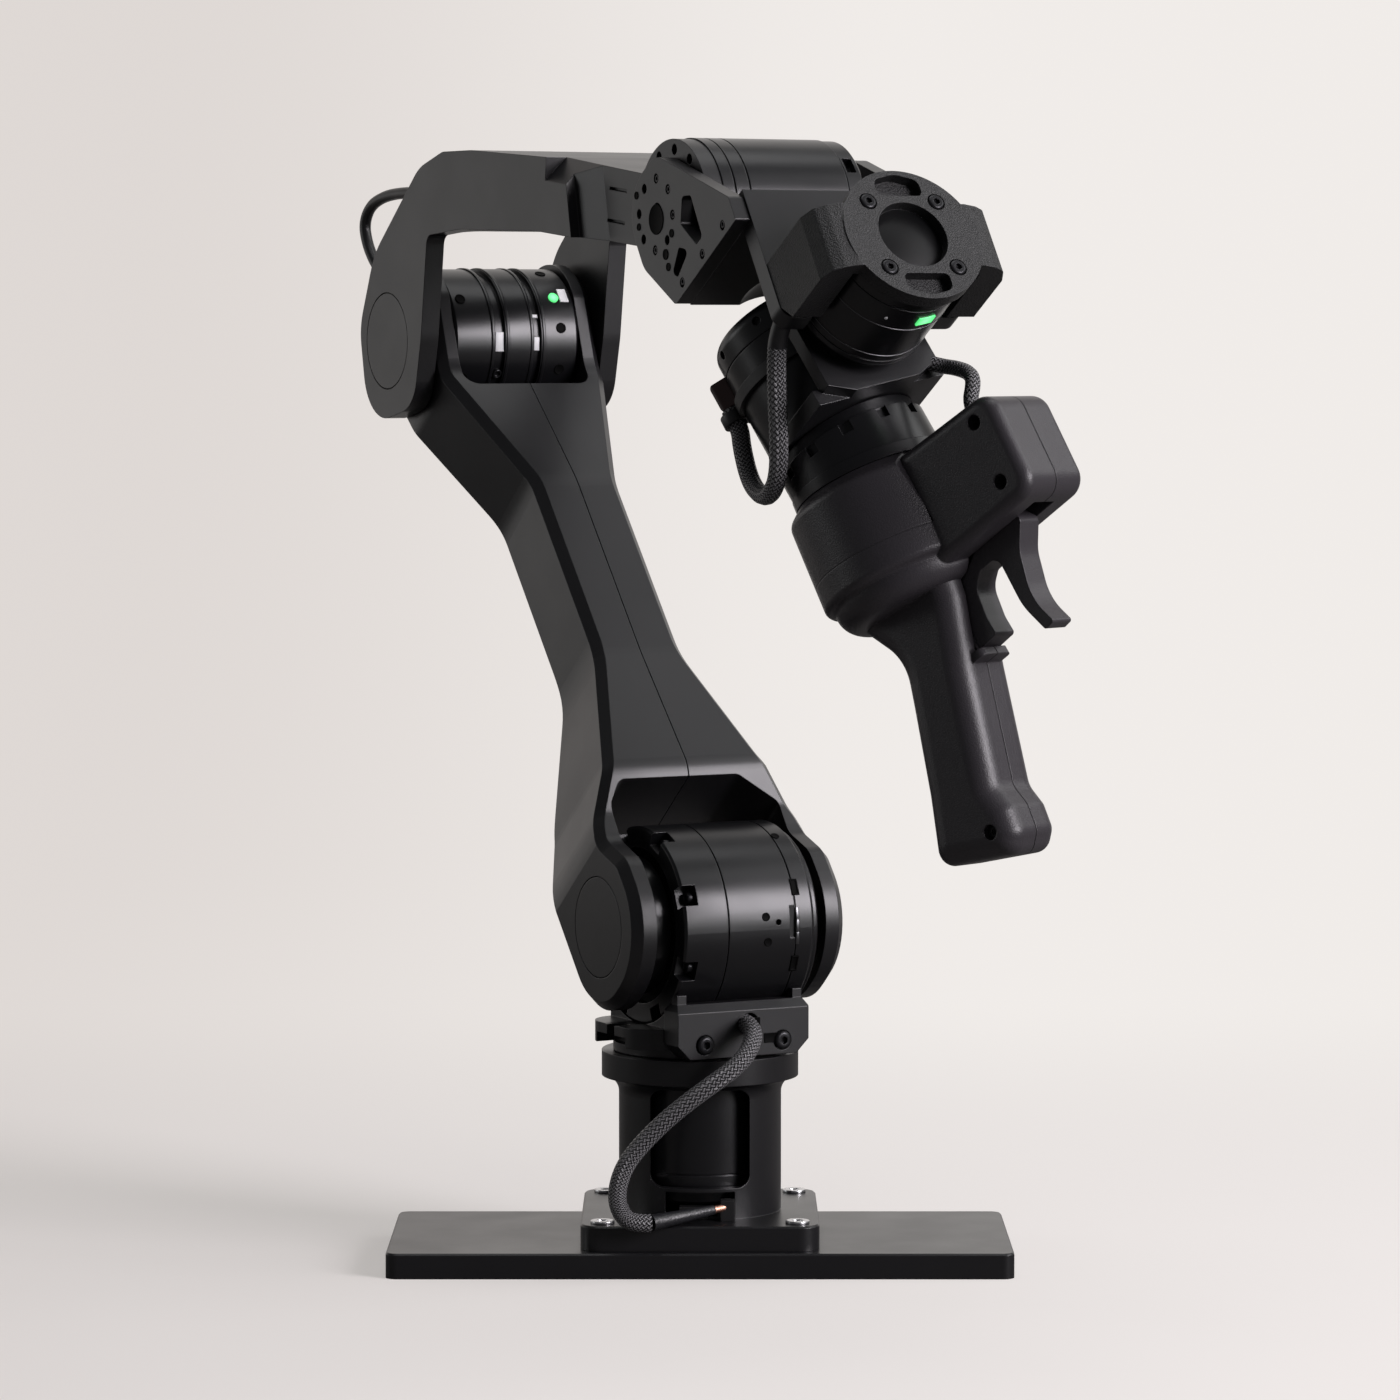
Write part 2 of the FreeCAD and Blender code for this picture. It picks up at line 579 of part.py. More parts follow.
def upper_arm():
    """Both halves of the upper arm in one piece: a bone-shaped side view cut to a waist."""
    r, e, long = S.shoulder_round, S.elbow_round, S.upper_length
    side = rounded([(-r, -r, r - 0.1), (11, -r, 12), (28, -25, 13), (42, -26, 10), (60, -r, 15),
                    (S.waist_start, -S.waist_front, 60),
                    (S.waist_end, -S.waist_front, 60), (long - 34, -21, 20), (long, -e, 10),
                    (long + e, -e, e - 4), (long + e, e, e - 4), (long - 26, 27, 25),
                    (S.waist_end + 8, S.waist_back, 45), (S.waist_start + 6, S.waist_back, 70),
                    (72, 33.5, 40), (-r, r - 2, r - 6)])
    solid = padded("XY", "flange_outer + flange_right", side, start=f"{-S.flange_right}")
    far = S.flange_right + 10
    waists = []
    for s, edge in ((-1, S.flange_right + 0.1), (1, S.flange_outer + 0.1)):
        waist = rounded([(8, s * far), (8, s * edge), (34, s * edge, 50), (64, s * 39, 40),
                         (S.waist_start, s * S.waist_half, 60), (S.waist_end, s * S.waist_half, 40),
                         (long - 38, s * S.clevis_outer, 25), (long + 60, s * S.clevis_outer),
                         (long + 60, s * far)])
        waists.append(padded("XZ", "upper_length", waist, both=True))
    bone = eased(cut(solid, *waists), "Part::Chamfer", S.arm_bevel,
                 lambda e: e.CenterOfMass.y < -15 and 70 < e.CenterOfMass.x < long - 50
                 and e.BoundBox.XLength > 3 and abs(e.CenterOfMass.z) < S.clevis_outer)
    mouth = padded("XZ", "upper_length",
                   rounded([(-S.mouth_top, -right_inner), (43, -right_inner, 4),
                            (S.mouth_top, -right_inner + 19, 6), (S.mouth_top, flange_inner - 5, 5),
                            (46, flange_inner, 3), (-S.mouth_top, flange_inner)]), both=True)
    window = padded("XZ", "upper_length",
                    rectangle(S.elbow_window * 2, S.clevis_inner * 2, 7, x=long), both=True)
    caps = [rod("cap_radius + cap_gap", "cap_thick * 2", (0, 0, low))
            for low in (S.flange_outer - S.cap_thick, -S.flange_right - S.cap_thick)]
    cavity = padded("XY", "waist_half * 2 - cavity_wall * 2",
                    rounded([(S.mouth_top + 12, -S.waist_front + 6, 4),
                             (long - S.elbow_window - 26, -S.waist_front + 8, 4),
                             (long - S.elbow_window - 26, S.waist_back - 5, 4),
                             (S.mouth_top + 12, S.waist_back - 5, 4)]), both=True)
    bearing = rod("bearing_radius + bearing_gap", "flange_thick * 2",
                  (0, 0, -S.flange_right - 1))
    hub = rod("elbow_hub_radius + hub_gap", "flange_outer * 2", (long, 0, -S.flange_outer))
    return cut(bone, mouth, window, *caps, cavity, bearing, hub)


def half_of(whole, side, length, centre=(0, 0, 0)):
    """One half of a piece, on one side of its middle plane, with a fine seam between the halves."""
    x, y, z = centre
    low = z + S.seam_gap if side > 0 else z - S.seam_gap - length
    piece = doc.addObject("Part::Box", "Half")
    piece.Length = piece.Width = piece.Height = length
    return common(whole, placed(piece, (x - length / 2, y - length / 2, low)))


def disc(radius, thick, low, x=0.0):
    """A plain cap disc with a broken edge."""
    solid = turned([(0, 0), (radius, 0), (radius, thick - 0.4), (radius - 0.4, thick), (0, thick)])
    return placed(solid, (x, 0, low)) if low > 0 else placed(solid, (x, 0, low), (1, 0, 0), 180)


def shoulder_output():
    """Output flange of the shoulder motor, bolted to the left flange."""
    low = ring_high + S.running_gap
    return turned([(0, low), (S.output_radius, low), (S.output_radius, flange_inner),
                   (0, flange_inner)])


arm = upper_arm()
middle = (S.upper_length / 2, 0, 0)
node("upper_arm_left", half_of(arm, 1, S.upper_length * 2, middle), UPPER)
node("upper_arm_right", half_of(arm, -1, S.upper_length * 2, middle), UPPER)
node("shoulder_output", shoulder_output(), UPPER)
node("shoulder_cap_left", disc(S.cap_radius, S.cap_thick, S.flange_outer - S.cap_thick), UPPER)
node("shoulder_cap_right", disc(S.cap_radius, S.cap_thick, -S.flange_right + S.cap_thick), UPPER)


def elbow_motor():
    """Elbow motor between the clevis plates, with stepped rings."""
    r, half = S.elbow_motor_radius, S.clevis_inner
    return turned([(0, -half), (r - 2, -half), (r, -half + 2), (r, -12), (r - 2, -12),
                   (r - 2, -8), (r, -8), (r, 6.5), (r - 2, 6.5), (r - 2, 12), (r - 0.2, 12),
                   (r - 0.2, half - 1), (r - 1.2, half), (0, half)])


def elbow_lamp():
    """Small signal lamp standing on the elbow motor's side."""
    lamp = rod("lamp_radius", "lamp_high", (0, 0, 0), (0, 1, 0), 90)
    angle = math.radians(S.lamp_turn)
    r = S.elbow_motor_radius - 0.2
    lamp.Placement = (move((S.upper_length, 0, S.lamp_along))
                      * move((r * math.cos(angle), r * math.sin(angle), 0), (0, 0, 1), S.lamp_turn)
                      * move((0, 0, 0), (0, 1, 0), 90))
    return lamp


node("elbow_motor", placed(elbow_motor(), (S.upper_length, 0, 0)), UPPER)
node("elbow_lamp", elbow_lamp(), UPPER)

# The elbow cord leaves the left clevis plate and goes into the forearm's bridge, in FORE.
ELBOW_ROUTE = [
    (-20.3, 26.0), (-28.0, 36.0), (-38.0, 46.5), (-43.5, 56.5), (-44.5, 65.5), (-36.0, 72.0),
    (-21.0, 73.0), (-4.0, 71.0), (20.0, 66.0), (48.0, 58.0), (74.0, 54.2),
]
elbow_row = (S.clevis_inner + S.clevis_outer) / 2
elbow_cord = cord(S.elbow_cord, [(x, y, elbow_row) for x, y in ELBOW_ROUTE])
node("elbow_cord", elbow_cord, FORE)

# Forearm: yoke and beam in one milled piece, ending in the plate that carries the wrist motor.
mount_inner = S.mount_outer - S.mount_thick
leg_inner = S.yoke_outer - S.leg_thick


def forearm():
    """Yoke legs, bridge and tapering beam, with the round plate of the wrist motor."""
    back, low, long, top = S.yoke_back, S.yoke_low, S.fore_length, S.beam_top
    side = rounded([(-back, -low, 24), (22, -low, 19), (36, -6, 40), (50, 33, 18),
                    (52, 38.5, 5), (86, 34, 20),
                    (162, 16.5, 80), (236, -6, 10), (long - 8, -12), (long - 8, 18),
                    (178, 46, 80), (105, 66, 60), (76, top, 15), (50, top - 1.5, 30),
                    (-6, 42, 40), (-back, 12, 24)])
    beam = padded("XY", "yoke_outer * 2", side, both=True)
    far = S.yoke_outer + 10
    wide = S.fore_length * 2
    left = rounded([(194, far), (194, S.mount_outer + 5), (212, S.mount_outer), (wide, S.mount_outer),
                    (wide, far)])
    right = rounded([(58, -far), (wide, -far), (wide, mount_inner), (long - 34, mount_inner, 6),
                     (188, -S.beam_right, 20), (80, -S.mount_outer - 4), (58, -S.yoke_outer)])
    gap = rectangle(152, leg_inner * 2, 8)
    cuts = [padded("XZ", "fore_length * 2", outline, both=True) for outline in (left, right, gap)]
    mount = rod("mount_radius", "mount_thick", (long, 0, mount_inner))
    bore = rod("mount_bore", "mount_thick * 3", (long, 0, mount_inner - S.mount_thick))
    cavity = padded("XY", "beam_right * 2 - cavity_wall * 2",
                    rounded([(82, 40, 3), (162, 21.5, 20), (196, 12), (196, 36), (105, 60, 20),
                             (82, 65, 3)]), both=True)
    recess = [rod("elbow_cap_radius + cap_gap", "cap_thick * 2", (0, 0, low))
              for low in (S.yoke_outer - S.cap_thick, -S.yoke_outer - S.cap_thick)]
    slots = [rod("2.3", "mount_thick * 3", (long + x, y, mount_inner - S.mount_thick))
             for a, x, y in around(12, S.mount_radius - 4.5, 15) if not 120 < a < 240]
    bevel = block("bevel_length", "bevel_wide * 4", "bevel_wide * 4", (0, -S.bevel_wide * 2, 0))
    bevel.Placement = (move((176, 40.5, S.mount_outer + 5), (0, 0, 1), -S.bevel_slope)
                       * move((0, 0, 0), (1, 0, 0), -45) * bevel.Placement)
    for x, y in ((216, 23), (211.5, 10)):
        fine = block("groove_length", "groove_wide", "mount_thick", (0, 0, 0))
        fine.Placement = move((x, y, S.mount_outer - S.groove_deep), (0, 0, 1), -S.bevel_slope)
        slots.append(fine)
    return cut(fused(cut(beam, *cuts, bevel), mount), bore, cavity, *recess, *slots)


def elbow_hub(side):
    """Hub that joins a yoke leg to the elbow motor through the clevis plate."""
    low, high = S.clevis_inner + S.running_gap, leg_inner
    hub = turned([(0, low), (S.elbow_hub_radius, low), (S.elbow_hub_radius, high), (0, high)])
    return hub if side > 0 else placed(hub, (0, 0, 0), (1, 0, 0), 180)


pitch_low = mount_inner - S.wrist_motor_length


def wrist_pitch_motor():
    """Motor that carries the wrist, with two seams."""
    r, low, high = S.wrist_motor_radius, pitch_low, mount_inner
    return turned([(0, low), (r, low), (r, high - 13), (r - 0.6, high - 13), (r - 0.6, high - 12.3),
                   (r, high - 12.3), (r, high - 6), (r - 0.6, high - 6), (r - 0.6, high - 5.3),
                   (r, high - 5.3), (r, high), (0, high)])


def wrist_pitch_cover():
    """Notched rear ring of the wrist motor with the journal of the far cheek."""
    r, high, low = S.wrist_motor_radius, pitch_low, pitch_low - S.wrist_cover_length
    end = -S.cheek_outer + 0.5
    solid = turned([(0, end), (S.bearing_radius, end), (S.bearing_radius, low), (r - 2, low),
                    (r - 0.5, low + 1.5), (r - 0.5, high - 0.6), (r - 1, high - 0.6),
                    (r - 1, high), (0, high)])
    notches = [block("12", "8", "4.5", (x + 4 * math.sin(math.radians(a)),
                                        y - 4 * math.cos(math.radians(a)), high - 6),
                     (0, 0, 1), a) for a, x, y in around(6, r - 4, 30)]
    return cut(solid, *notches)


node("forearm", forearm(), FORE)
node("elbow_hub_left", elbow_hub(1), FORE)
node("elbow_hub_right", elbow_hub(-1), FORE)
node("elbow_cap_left", disc(S.elbow_cap_radius, S.cap_thick, S.yoke_outer - S.cap_thick), FORE)
node("elbow_cap_right", disc(S.elbow_cap_radius, S.cap_thick, -S.yoke_outer + S.cap_thick), FORE)
node("wrist_pitch_motor", placed(wrist_pitch_motor(), (S.fore_length, 0, 0)), FORE)
node("wrist_pitch_cover", placed(wrist_pitch_cover(), (S.fore_length, 0, 0)), FORE)

# Wrist: two cheeks on the wrist motor, the bracket between them and the yaw motor's cap.
cheek_inner = S.cheek_outer - S.cheek_thick
cheek_edge = S.cross_near + S.cross_thick
slab_back = S.slab_front - S.slab_thick


def cheek_outline():
    """Side view of a cheek: a hub that widens to a straight front edge."""
    r = S.cheek_hub
    return rounded([(-r, -r, r - 0.5), (r * 0.6, -r, 14), (cheek_edge, S.cross_low, 3),
                    (cheek_edge, S.slab_front - 1, 1), (30, S.slab_front - 1, 2), (-r, 13, 14)])


def edge_screw_spots():
    """Places of the three screws along a cheek's front edge."""
    x = cheek_edge - 4.5
    return [(x, y) for y in (4, 25, 46)]


def hub_screw_spots():
    """Places of the screws around a cheek's hub."""
    return [(x, y) for _, x, y in around(8, S.cheek_hub - 6.5, 10)]


def cheek_left():
    """Near cheek with windows, a slotted middle and screw holes."""
    plate = padded("XY", "cheek_thick", cheek_outline(), start=f"{cheek_inner}")
    low = cheek_inner - 1
    middle_hole = padded("XY", "cheek_thick * 2", rectangle(8, 11, 3.9), start=f"{low}")
    windows = [padded("XY", "cheek_thick * 2", rounded(shape), start=f"{low}")
               for shape in ([(16, 16, 2), (31, 23, 2), (31, 29, 2), (11, 30, 2), (7, 23.5, 2)],
                             [(23, 9.5, 2), (29, -1, 2), (33, 2, 2), (29, 16, 2)])]
    holes = [rod("2.1", "cheek_thick * 2", (x, y, low))
             for x, y in edge_screw_spots() + hub_screw_spots()]
    return cut(plate, middle_hole, *windows, *holes)


def cheek_right():
    """Far cheek with the bore of its bearing."""
    plate = padded("XY", "cheek_thick", cheek_outline(), start=f"{-S.cheek_outer}")
    bore = rod("bearing_radius + bearing_gap", "cheek_thick * 3", (0, 0, -S.cheek_outer - 5))
    holes = [rod("2.1", "cheek_thick * 3", (x, y, -S.cheek_outer - 5))
             for x, y in edge_screw_spots()]
    return cut(plate, bore, *holes)


def cheek_screws():
    """Screws in both cheeks."""
    near = [placed(cap_screw(3.4, 1.6, 2.0, S.cheek_thick), (x, y, S.cheek_outer))
            for x, y in edge_screw_spots() + hub_screw_spots()]
    far = [placed(cap_screw(3.4, 1.6, 2.0, S.cheek_thick), (x, y, -S.cheek_outer), (1, 0, 0), 180)
           for x, y in edge_screw_spots()]
    return grouped(*near, *far)


def pitch_output():
    """Output hub of the wrist motor, through the forearm's plate to the near cheek."""
    low = mount_inner + S.running_gap
    return turned([(0, low), (S.wrist_hub_radius, low), (S.wrist_hub_radius, cheek_inner),
                   (0, cheek_inner)])


def wrist_bracket():
    """Cross wall and front slab between the cheeks; the slab forks round the yaw motor."""
    wide = cheek_inner * 2
    cross = block("cross_thick", "slab_front - cross_low", f"{wide}",
                  (S.cross_near, S.cross_low, -cheek_inner))
    slab = padded("XZ", "slab_thick", rounded([(27, -cheek_inner), (S.slab_end, -cheek_inner, 6),
                                               (S.slab_end, cheek_inner, 6), (27, cheek_inner)]),
                  start=f"{-S.slab_front}")
    round_way = rod("yaw_motor_radius + yaw_gap", "slab_front", (S.yaw_offset, slab_back + 30, 0),
                    (1, 0, 0), 90)
    open_way = block("slab_end", "slab_front", "yaw_motor_radius * 2 + yaw_gap * 2",
                     (S.yaw_offset, slab_back - 10, -S.yaw_motor_radius - S.yaw_gap))
    reach = "(roll_motor_rear ^ 2 + roll_motor_radius ^ 2) ^ 0.5 + yaw_gap"
    sweep = ball(reach, (S.yaw_offset, 0, 0))
    return cut(fused(cross, slab), round_way, open_way, sweep)


def yaw_cap():
    """Cap disc over the yaw motor with two ears that come down to the slab."""
    top, low = S.yaw_cap_top, S.yaw_cap_top - S.yaw_cap_thick
    lid = rod("yaw_cap_radius", "yaw_cap_thick", (0, 0, low))
    half, out, inner = S.ear_half, S.ear_outer, S.yaw_motor_radius + S.yaw_gap
    ears = []
    for s in (-1, 1):
        ear = padded("YZ", "ear_half * 2",
                     rounded([(s * inner, S.slab_front), (s * out, S.slab_front),
                              (s * out, top - 11, 2), (s * (out - 2.8), top - 4.3, 3),
                              (s * (out - 7.5), top - 1.6, 5), (s * (out - 13.8), top),
                              (s * 20, top), (s * 20, low), (s * inner, low)]), both=True)
        ears.append(ear)
    under = S.slab_front - 0.1
    corner = padded("XZ", "ear_outer * 3",
                    rounded([(half - S.ear_corner, under), (half + 1, under),
                             (half + 1, under + S.ear_corner * 0.8)]), both=True)
    whole = cut(fused(lid, *ears), corner)
    recess = rod("cap_recess_radius", "cap_recess_depth * 2", (0, 0, top - S.cap_recess_depth))
    screws = [rod("2.1", "yaw_cap_thick * 2", (x, y, low - 1)) for x, y in cap_screw_spots()]
    sinks = [rod("3.9", "4", (x, y, top - 2)) for x, y in cap_screw_spots()]
    kidneys = []
    for s in (-1, 1):
        kidneys.append(padded("XY", "yaw_cap_thick * 2",
                              rounded([(s * 18.8, -10.5, 2.5), (s * 26.5, -10.5, 4), (s * 29.3, 0, 9),
                                       (s * 26.5, 10.5, 4), (s * 18.8, 10.5, 2.5)]),
                              start=f"{top - S.cap_recess_depth}"))
    return cut(whole, recess, *screws, *sinks, *kidneys)


def cap_screw_spots():
    """Places of the four screws of the yaw cap."""
    return [(x, y) for _, x, y in around(4, S.cap_screw_circle, 45)]


def yaw_cap_screws():
    """Four socket screws that hold the yaw motor under its cap."""
    seat = S.yaw_cap_top - 2
    return grouped(*[placed(cap_screw(3.5, 2.6, 2.0, 4.4), (x, y, seat))
                     for x, y in cap_screw_spots()])


yaw_high = S.yaw_cap_top - S.yaw_cap_thick
yaw_low = yaw_high - S.yaw_motor_length


def yaw_motor():
    """Yaw motor under its cap, with fine seams near both ends."""
    r, low, high = S.yaw_motor_radius, yaw_low, yaw_high
    return turned([(0, low), (r - 1.5, low), (r, low + 1.5), (r, low + 4), (r - 0.5, low + 4),
                   (r - 0.5, low + 4.6), (r, low + 4.6), (r, low + 8), (r - 0.5, low + 8),
                   (r - 0.5, low + 8.6), (r, low + 8.6), (r, high - 7), (r - 0.5, high - 7),
                   (r - 0.5, high - 6.3), (r, high - 6.3), (r, high), (0, high)])


def yaw_lamp():
    """Signal window in the yaw motor's side."""
    lamp = block("yaw_lamp_deep", "yaw_lamp_wide", "yaw_lamp_tall",
                 (S.yaw_motor_radius - S.yaw_lamp_deep / 2, -S.yaw_lamp_wide / 2,
                  yaw_high - S.yaw_lamp_drop))
    lamp.Placement = move((0, 0, 0), (0, 0, 1), S.yaw_lamp_turn) * lamp.Placement
    return lamp


node("cheek_left", cheek_left(), WRIST)
node("cheek_right", cheek_right(), WRIST)
node("cheek_screws", cheek_screws(), WRIST)
node("pitch_output", pitch_output(), WRIST)
node("wrist_bracket", wrist_bracket(), WRIST)
node("yaw_cap", yaw_cap(), YAW_AXIS)
node("yaw_cap_screws", yaw_cap_screws(), YAW_AXIS)
node("yaw_motor", yaw_motor(), YAW_AXIS)
node("yaw_lamp", yaw_lamp(), YAW_AXIS)

# The wrist cord hangs from the slab's left corner and comes up to the plug on the roll motor.
plug_turn = math.radians(S.wrist_plug_turn)
plug_mid = S.roll_motor_radius + S.wrist_plug_high * 0.6
plug_end = YAW.multVec(V(S.wrist_plug_end, plug_mid * math.sin(plug_turn),
                         plug_mid * math.cos(plug_turn)))
along_plug = YAW.Rotation.multVec(V(1, 0, 0))
WRIST_ROUTE = [
    tuple(plug_end + along_plug * 0.1), tuple(plug_end + along_plug * 9), (17.5, -86.0, 356.7),
    (20.6, -92.0, 346.8), (24.6, -101.0, 340.8), (28.1, -111.4, 340.5), (32.2, -119.0, 349.2),
    (32.5, -125.0, 361.7), (31.6, -130.0, 377.4), (31.2, -134.5, 392.9), (31.8, -138.0, 403.6),
    (34.0, -141.6, 409.9),
]
node("wrist_cord", cord(S.wrist_cord, WRIST_ROUTE), BASE)

# Roll unit under the yaw motor: output plate, bracket, roll motor and cable clip.
plate_top = yaw_low - S.running_gap - 6
plate_low = plate_top - S.roll_plate_thick
wall_end = S.roll_motor_front + S.roll_wall_thick


def yaw_output():
    """Output disc under the yaw motor."""
    high = yaw_low - S.running_gap
    return turned([(0, plate_top), (S.yaw_hub_radius, plate_top), (S.yaw_hub_radius, high),
                   (0, high)])


def roll_bracket():
    """Faceted plate under the output disc, with the wall that carries the roll motor."""
    r, c, e = S.roll_wall_radius, 12, S.roll_wall_radius - 4
    front = wall_end
    top = padded("XY", "roll_plate_thick",
                 rounded([(-e + c, -e), (front - 5, -e), (front, -e + c), (front, e - c),
                          (front - 5, e), (-e + c, e), (-e, e - c), (-e, -e + c)]),
                 start=f"{plate_low}")
    wall = padded("YZ", "roll_wall_thick",
                  rounded([(-r, -r, r - 1), (r, -r, r - 1), (r, plate_low + 1),
                           (-r, plate_low + 1)]), start="roll_motor_front")
    bore = rod("roll_bore", "roll_wall_thick * 3", (S.roll_motor_front - 5, 0, 0), (0, 1, 0), 90)
    return cut(fused(top, wall), bore)


def roll_motor():
    """Roll motor behind the wall, with a seam and side screws' seats."""
    r, low, high = S.roll_motor_radius, -S.roll_motor_rear, S.roll_motor_front
    solid = turned([(0, low), (r, low, 6), (r, low + 13), (r - 0.5, low + 13),
                    (r - 0.5, low + 13.6), (r, low + 13.6), (r, high), (0, high)])
    holes = [rod("1.9", "6", (x * 0.92, y * 0.92, low + 7), (-y, x, 0), 90)
             for _, x, y in around(8, r, 10)]
    return cut(solid, *holes)


def cable_clip():
    """Band round the roll motor with a flat seat where the wrist cable lies on it."""
    r, out = S.roll_motor_radius, S.roll_motor_radius + S.clip_thick
    band = turned([(r, S.clip_low), (out, S.clip_low), (out, S.clip_high), (r, S.clip_high)])
    seat = block("clip_thick", "clip_seat_wide", "roll_motor_radius", (0, 0, 0))
    corner = move((r + S.clip_seat_floor, -S.clip_seat_wide / 2, -r / 2))
    seat.Placement = move((0, 0, 0), (0, 0, 1), S.clip_seat_turn) * corner
    return cut(band, seat)


node("yaw_output", yaw_output(), YAW_OUT)
node("roll_bracket", roll_bracket(), YAW_OUT)
node("roll_motor", roll_motor(), ROLL_AXIS)
node("cable_clip", cable_clip(), ROLL_AXIS)


def wrist_plug():
    """Plug lying on the roll motor's side, hollowed to its round."""
    low, wide = S.roll_motor_radius - 2, S.wrist_plug_width
    body = block("wrist_plug_high + 2", "wrist_plug_width", "wrist_plug_length",
                 (low, -wide / 2, S.wrist_plug_end - S.wrist_plug_length))
    body = eased(body, "Part::Fillet", 2.0,
                 lambda e: e.BoundBox.XMin > low + S.wrist_plug_high + 1.9)
    hollow = rod("roll_motor_radius", "roll_motor_radius * 2", (0, 0, -S.roll_motor_radius))
    return cut(body, hollow)


HANDLE_ROUTE = [
    (94.0, -108.9, 392.6), (100.9, -111.0, 393.6), (106.0, -117.0, 392.8), (110.6, -124.0, 390.4),
    (112.3, -130.0, 385.1), (110.1, -134.8, 375.7), (113.2, -137.3, 370.2),
]
plug_place = ROLL_AXIS * move((0, 0, 0), (0, 0, 1), 180 - S.wrist_plug_turn)
node("wrist_plug", wrist_plug(), plug_place)
node("handle_cord", cord(S.handle_cord, HANDLE_ROUTE), BASE)

# Handle: adapter, collar, two moulded halves and the trigger.


def roll_output():
    """Output hub of the roll motor, through the wall to the adapter."""
    low = S.roll_motor_front + S.running_gap
    return turned([(0, low), (S.roll_hub_radius, low), (S.roll_hub_radius, S.adapter_start),
                   (0, S.adapter_start)])


def handle_adapter():
    """Notched ring on the roll output, with a leaning flange under the collar."""
    r, low, high, lip = S.adapter_radius, S.adapter_start, S.collar_start, S.adapter_lip
    ring = turned([(0, low), (r - 2, low), (r - 2, low + lip), (r, low + lip), (r, high), (0, high)])
    half = S.adapter_notch / 2
    notches = [block("ring_wall", "adapter_notch", "adapter_lip",
                     (x + half * math.sin(math.radians(a)), y - half * math.cos(math.radians(a)),
                      low + lip), (0, 0, 1), a)
               for a, x, y in around(12, r - half, 25)]
    upright = placed(cut(ring, *notches), (0, 0, 0), (0, 1, 0), 90)
    wide, under = S.drum_radius, -S.flange_high
    beyond = leaning(turned([(0, under), (wide, under), (wide, wide), (0, wide)]))
    flange = leaning(turned([(0, under), (S.flange_radius, under), (S.flange_radius, 0), (0, 0)]))
    return fused(cut(upright, beyond), flange)


def seam_at(y):
    """Where the seam under the collar crosses a line along the handle, at one height y."""
    tilt = math.radians(S.drum_tilt)
    return S.collar_start + (S.collar_length + math.sin(tilt) * y) / math.cos(tilt)


def leaning(thing):
    """A drum piece on its own axis, which leans back from the roll axis."""
    thing.Placement = (move((S.collar_start, 0, 0), (0, 0, 1), -S.drum_tilt)
                       * move((0, 0, 0), (0, 1, 0), 90))
    return thing


def handle_collar():
    """Collar at the top of the drum; the head starts at a flat on its front."""
    r, low, long = S.drum_radius, S.drum_top_radius, S.collar_length
    solid = leaning(turned([(0, 0), (low, 0, 1.5), (r, S.collar_ease, 4), (r, long), (0, long)]))
    flat = block("drum_radius * 2", "drum_radius", "drum_radius * 4",
                 (S.collar_start, S.head_start, -r * 2))
    return cut(solid, flat)


def grip_outline():
    """Side view of the grip: straight front, swept back and a flared toe."""
    end = S.grip_end
    return rounded([(95, 24), (124, 17, 10), (150, 5.5, 30), (end - 28, -12.2, 10),
                    (end - 18, -10.6, 6), (end - 7, -12.6, 6), (end - 0.5, -20, 6),
                    (end - 16, -55.5, 6), (end - 43, -42.6, 60), (end - 77, -28.6, 40),
                    (131, -21.5, 22), (114, -30), (95, -30)])


def handle_whole():
    """Head, lower drum and grip of the handle before it is parted into halves."""
    start, deep = S.head_start, 10
    head = padded("XY", "handle_half * 2",
                  rounded([(S.head_top, start), (S.head_top + 3, S.head_front + 1, 9),
                           (S.head_bottom, S.head_front - 3, 9), (S.head_bottom, deep),
                           (seam_at(deep), deep), (seam_at(start), start)]), both=True)
    head = eased(head, "Part::Fillet", S.head_round * 0.7,
                 lambda e: (level(e, S.handle_half) or level(e, -S.handle_half))
                 and e.BoundBox.YMax > start + 1 and e.BoundBox.YMin > start - 1)
    drum = leaning(turned([(0, S.collar_length), (S.drum_radius, S.collar_length),
                           (S.drum_radius, S.drum_end, 3), (S.foot_radius, S.drum_end + 2, 2),
                           (S.foot_radius, S.foot_end, S.drum_round), (0, S.foot_end)]))
    ledge = block("ledge_high", "12", "ledge_half * 2", (S.ledge_start, 0.5, -S.ledge_half))
    ledge = eased(ledge, "Part::Fillet", 3.0, lambda e: e.BoundBox.YMin > 12 and e.BoundBox.XLength > 3)
    grip = padded("XY", "grip_width", grip_outline(), both=True)
    half = S.grip_width / 2
    grip = eased(grip, "Part::Fillet", S.grip_round,
                 lambda e: (level(e, half, "z") or level(e, -half, "z"))
                 and e.BoundBox.XMax > 115)
    return fused(head, drum, grip, ledge)


trigger_spot = (107.0, 47.0)


def screw_spots():
    """Places of the screws that join the handle's halves."""
    return [(74, 69), (101, 66), (98, -17), (S.grip_end - 13, -22)]


def handle():
    """The handle with the trigger's slots, the pin's bore and the screw wells."""
    wide = S.trigger_half * 2 + S.trigger_gap * 2
    slot = block("14", "42", f"{wide}", (100, 25, -wide / 2))
    recess = block("ledge_start - head_bottom + 5.8", "33", f"{wide}", (106, 2, -wide / 2))
    x, y = trigger_spot
    bore = rod("trigger_pin_radius", f"{S.handle_half * 1.5}", (x, y, -S.handle_half * 0.75))
    floor = S.grip_width / 2 - S.well_depth
    wells = [rod("well_radius", "well_depth * 3", (a, b, floor)) for a, b in screw_spots()]
    pilots = [rod("screw_shank", "screw_grip + well_depth", (a, b, floor - S.screw_grip))
              for a, b in screw_spots()]
    return cut(handle_whole(), slot, recess, bore, *wells, *pilots)


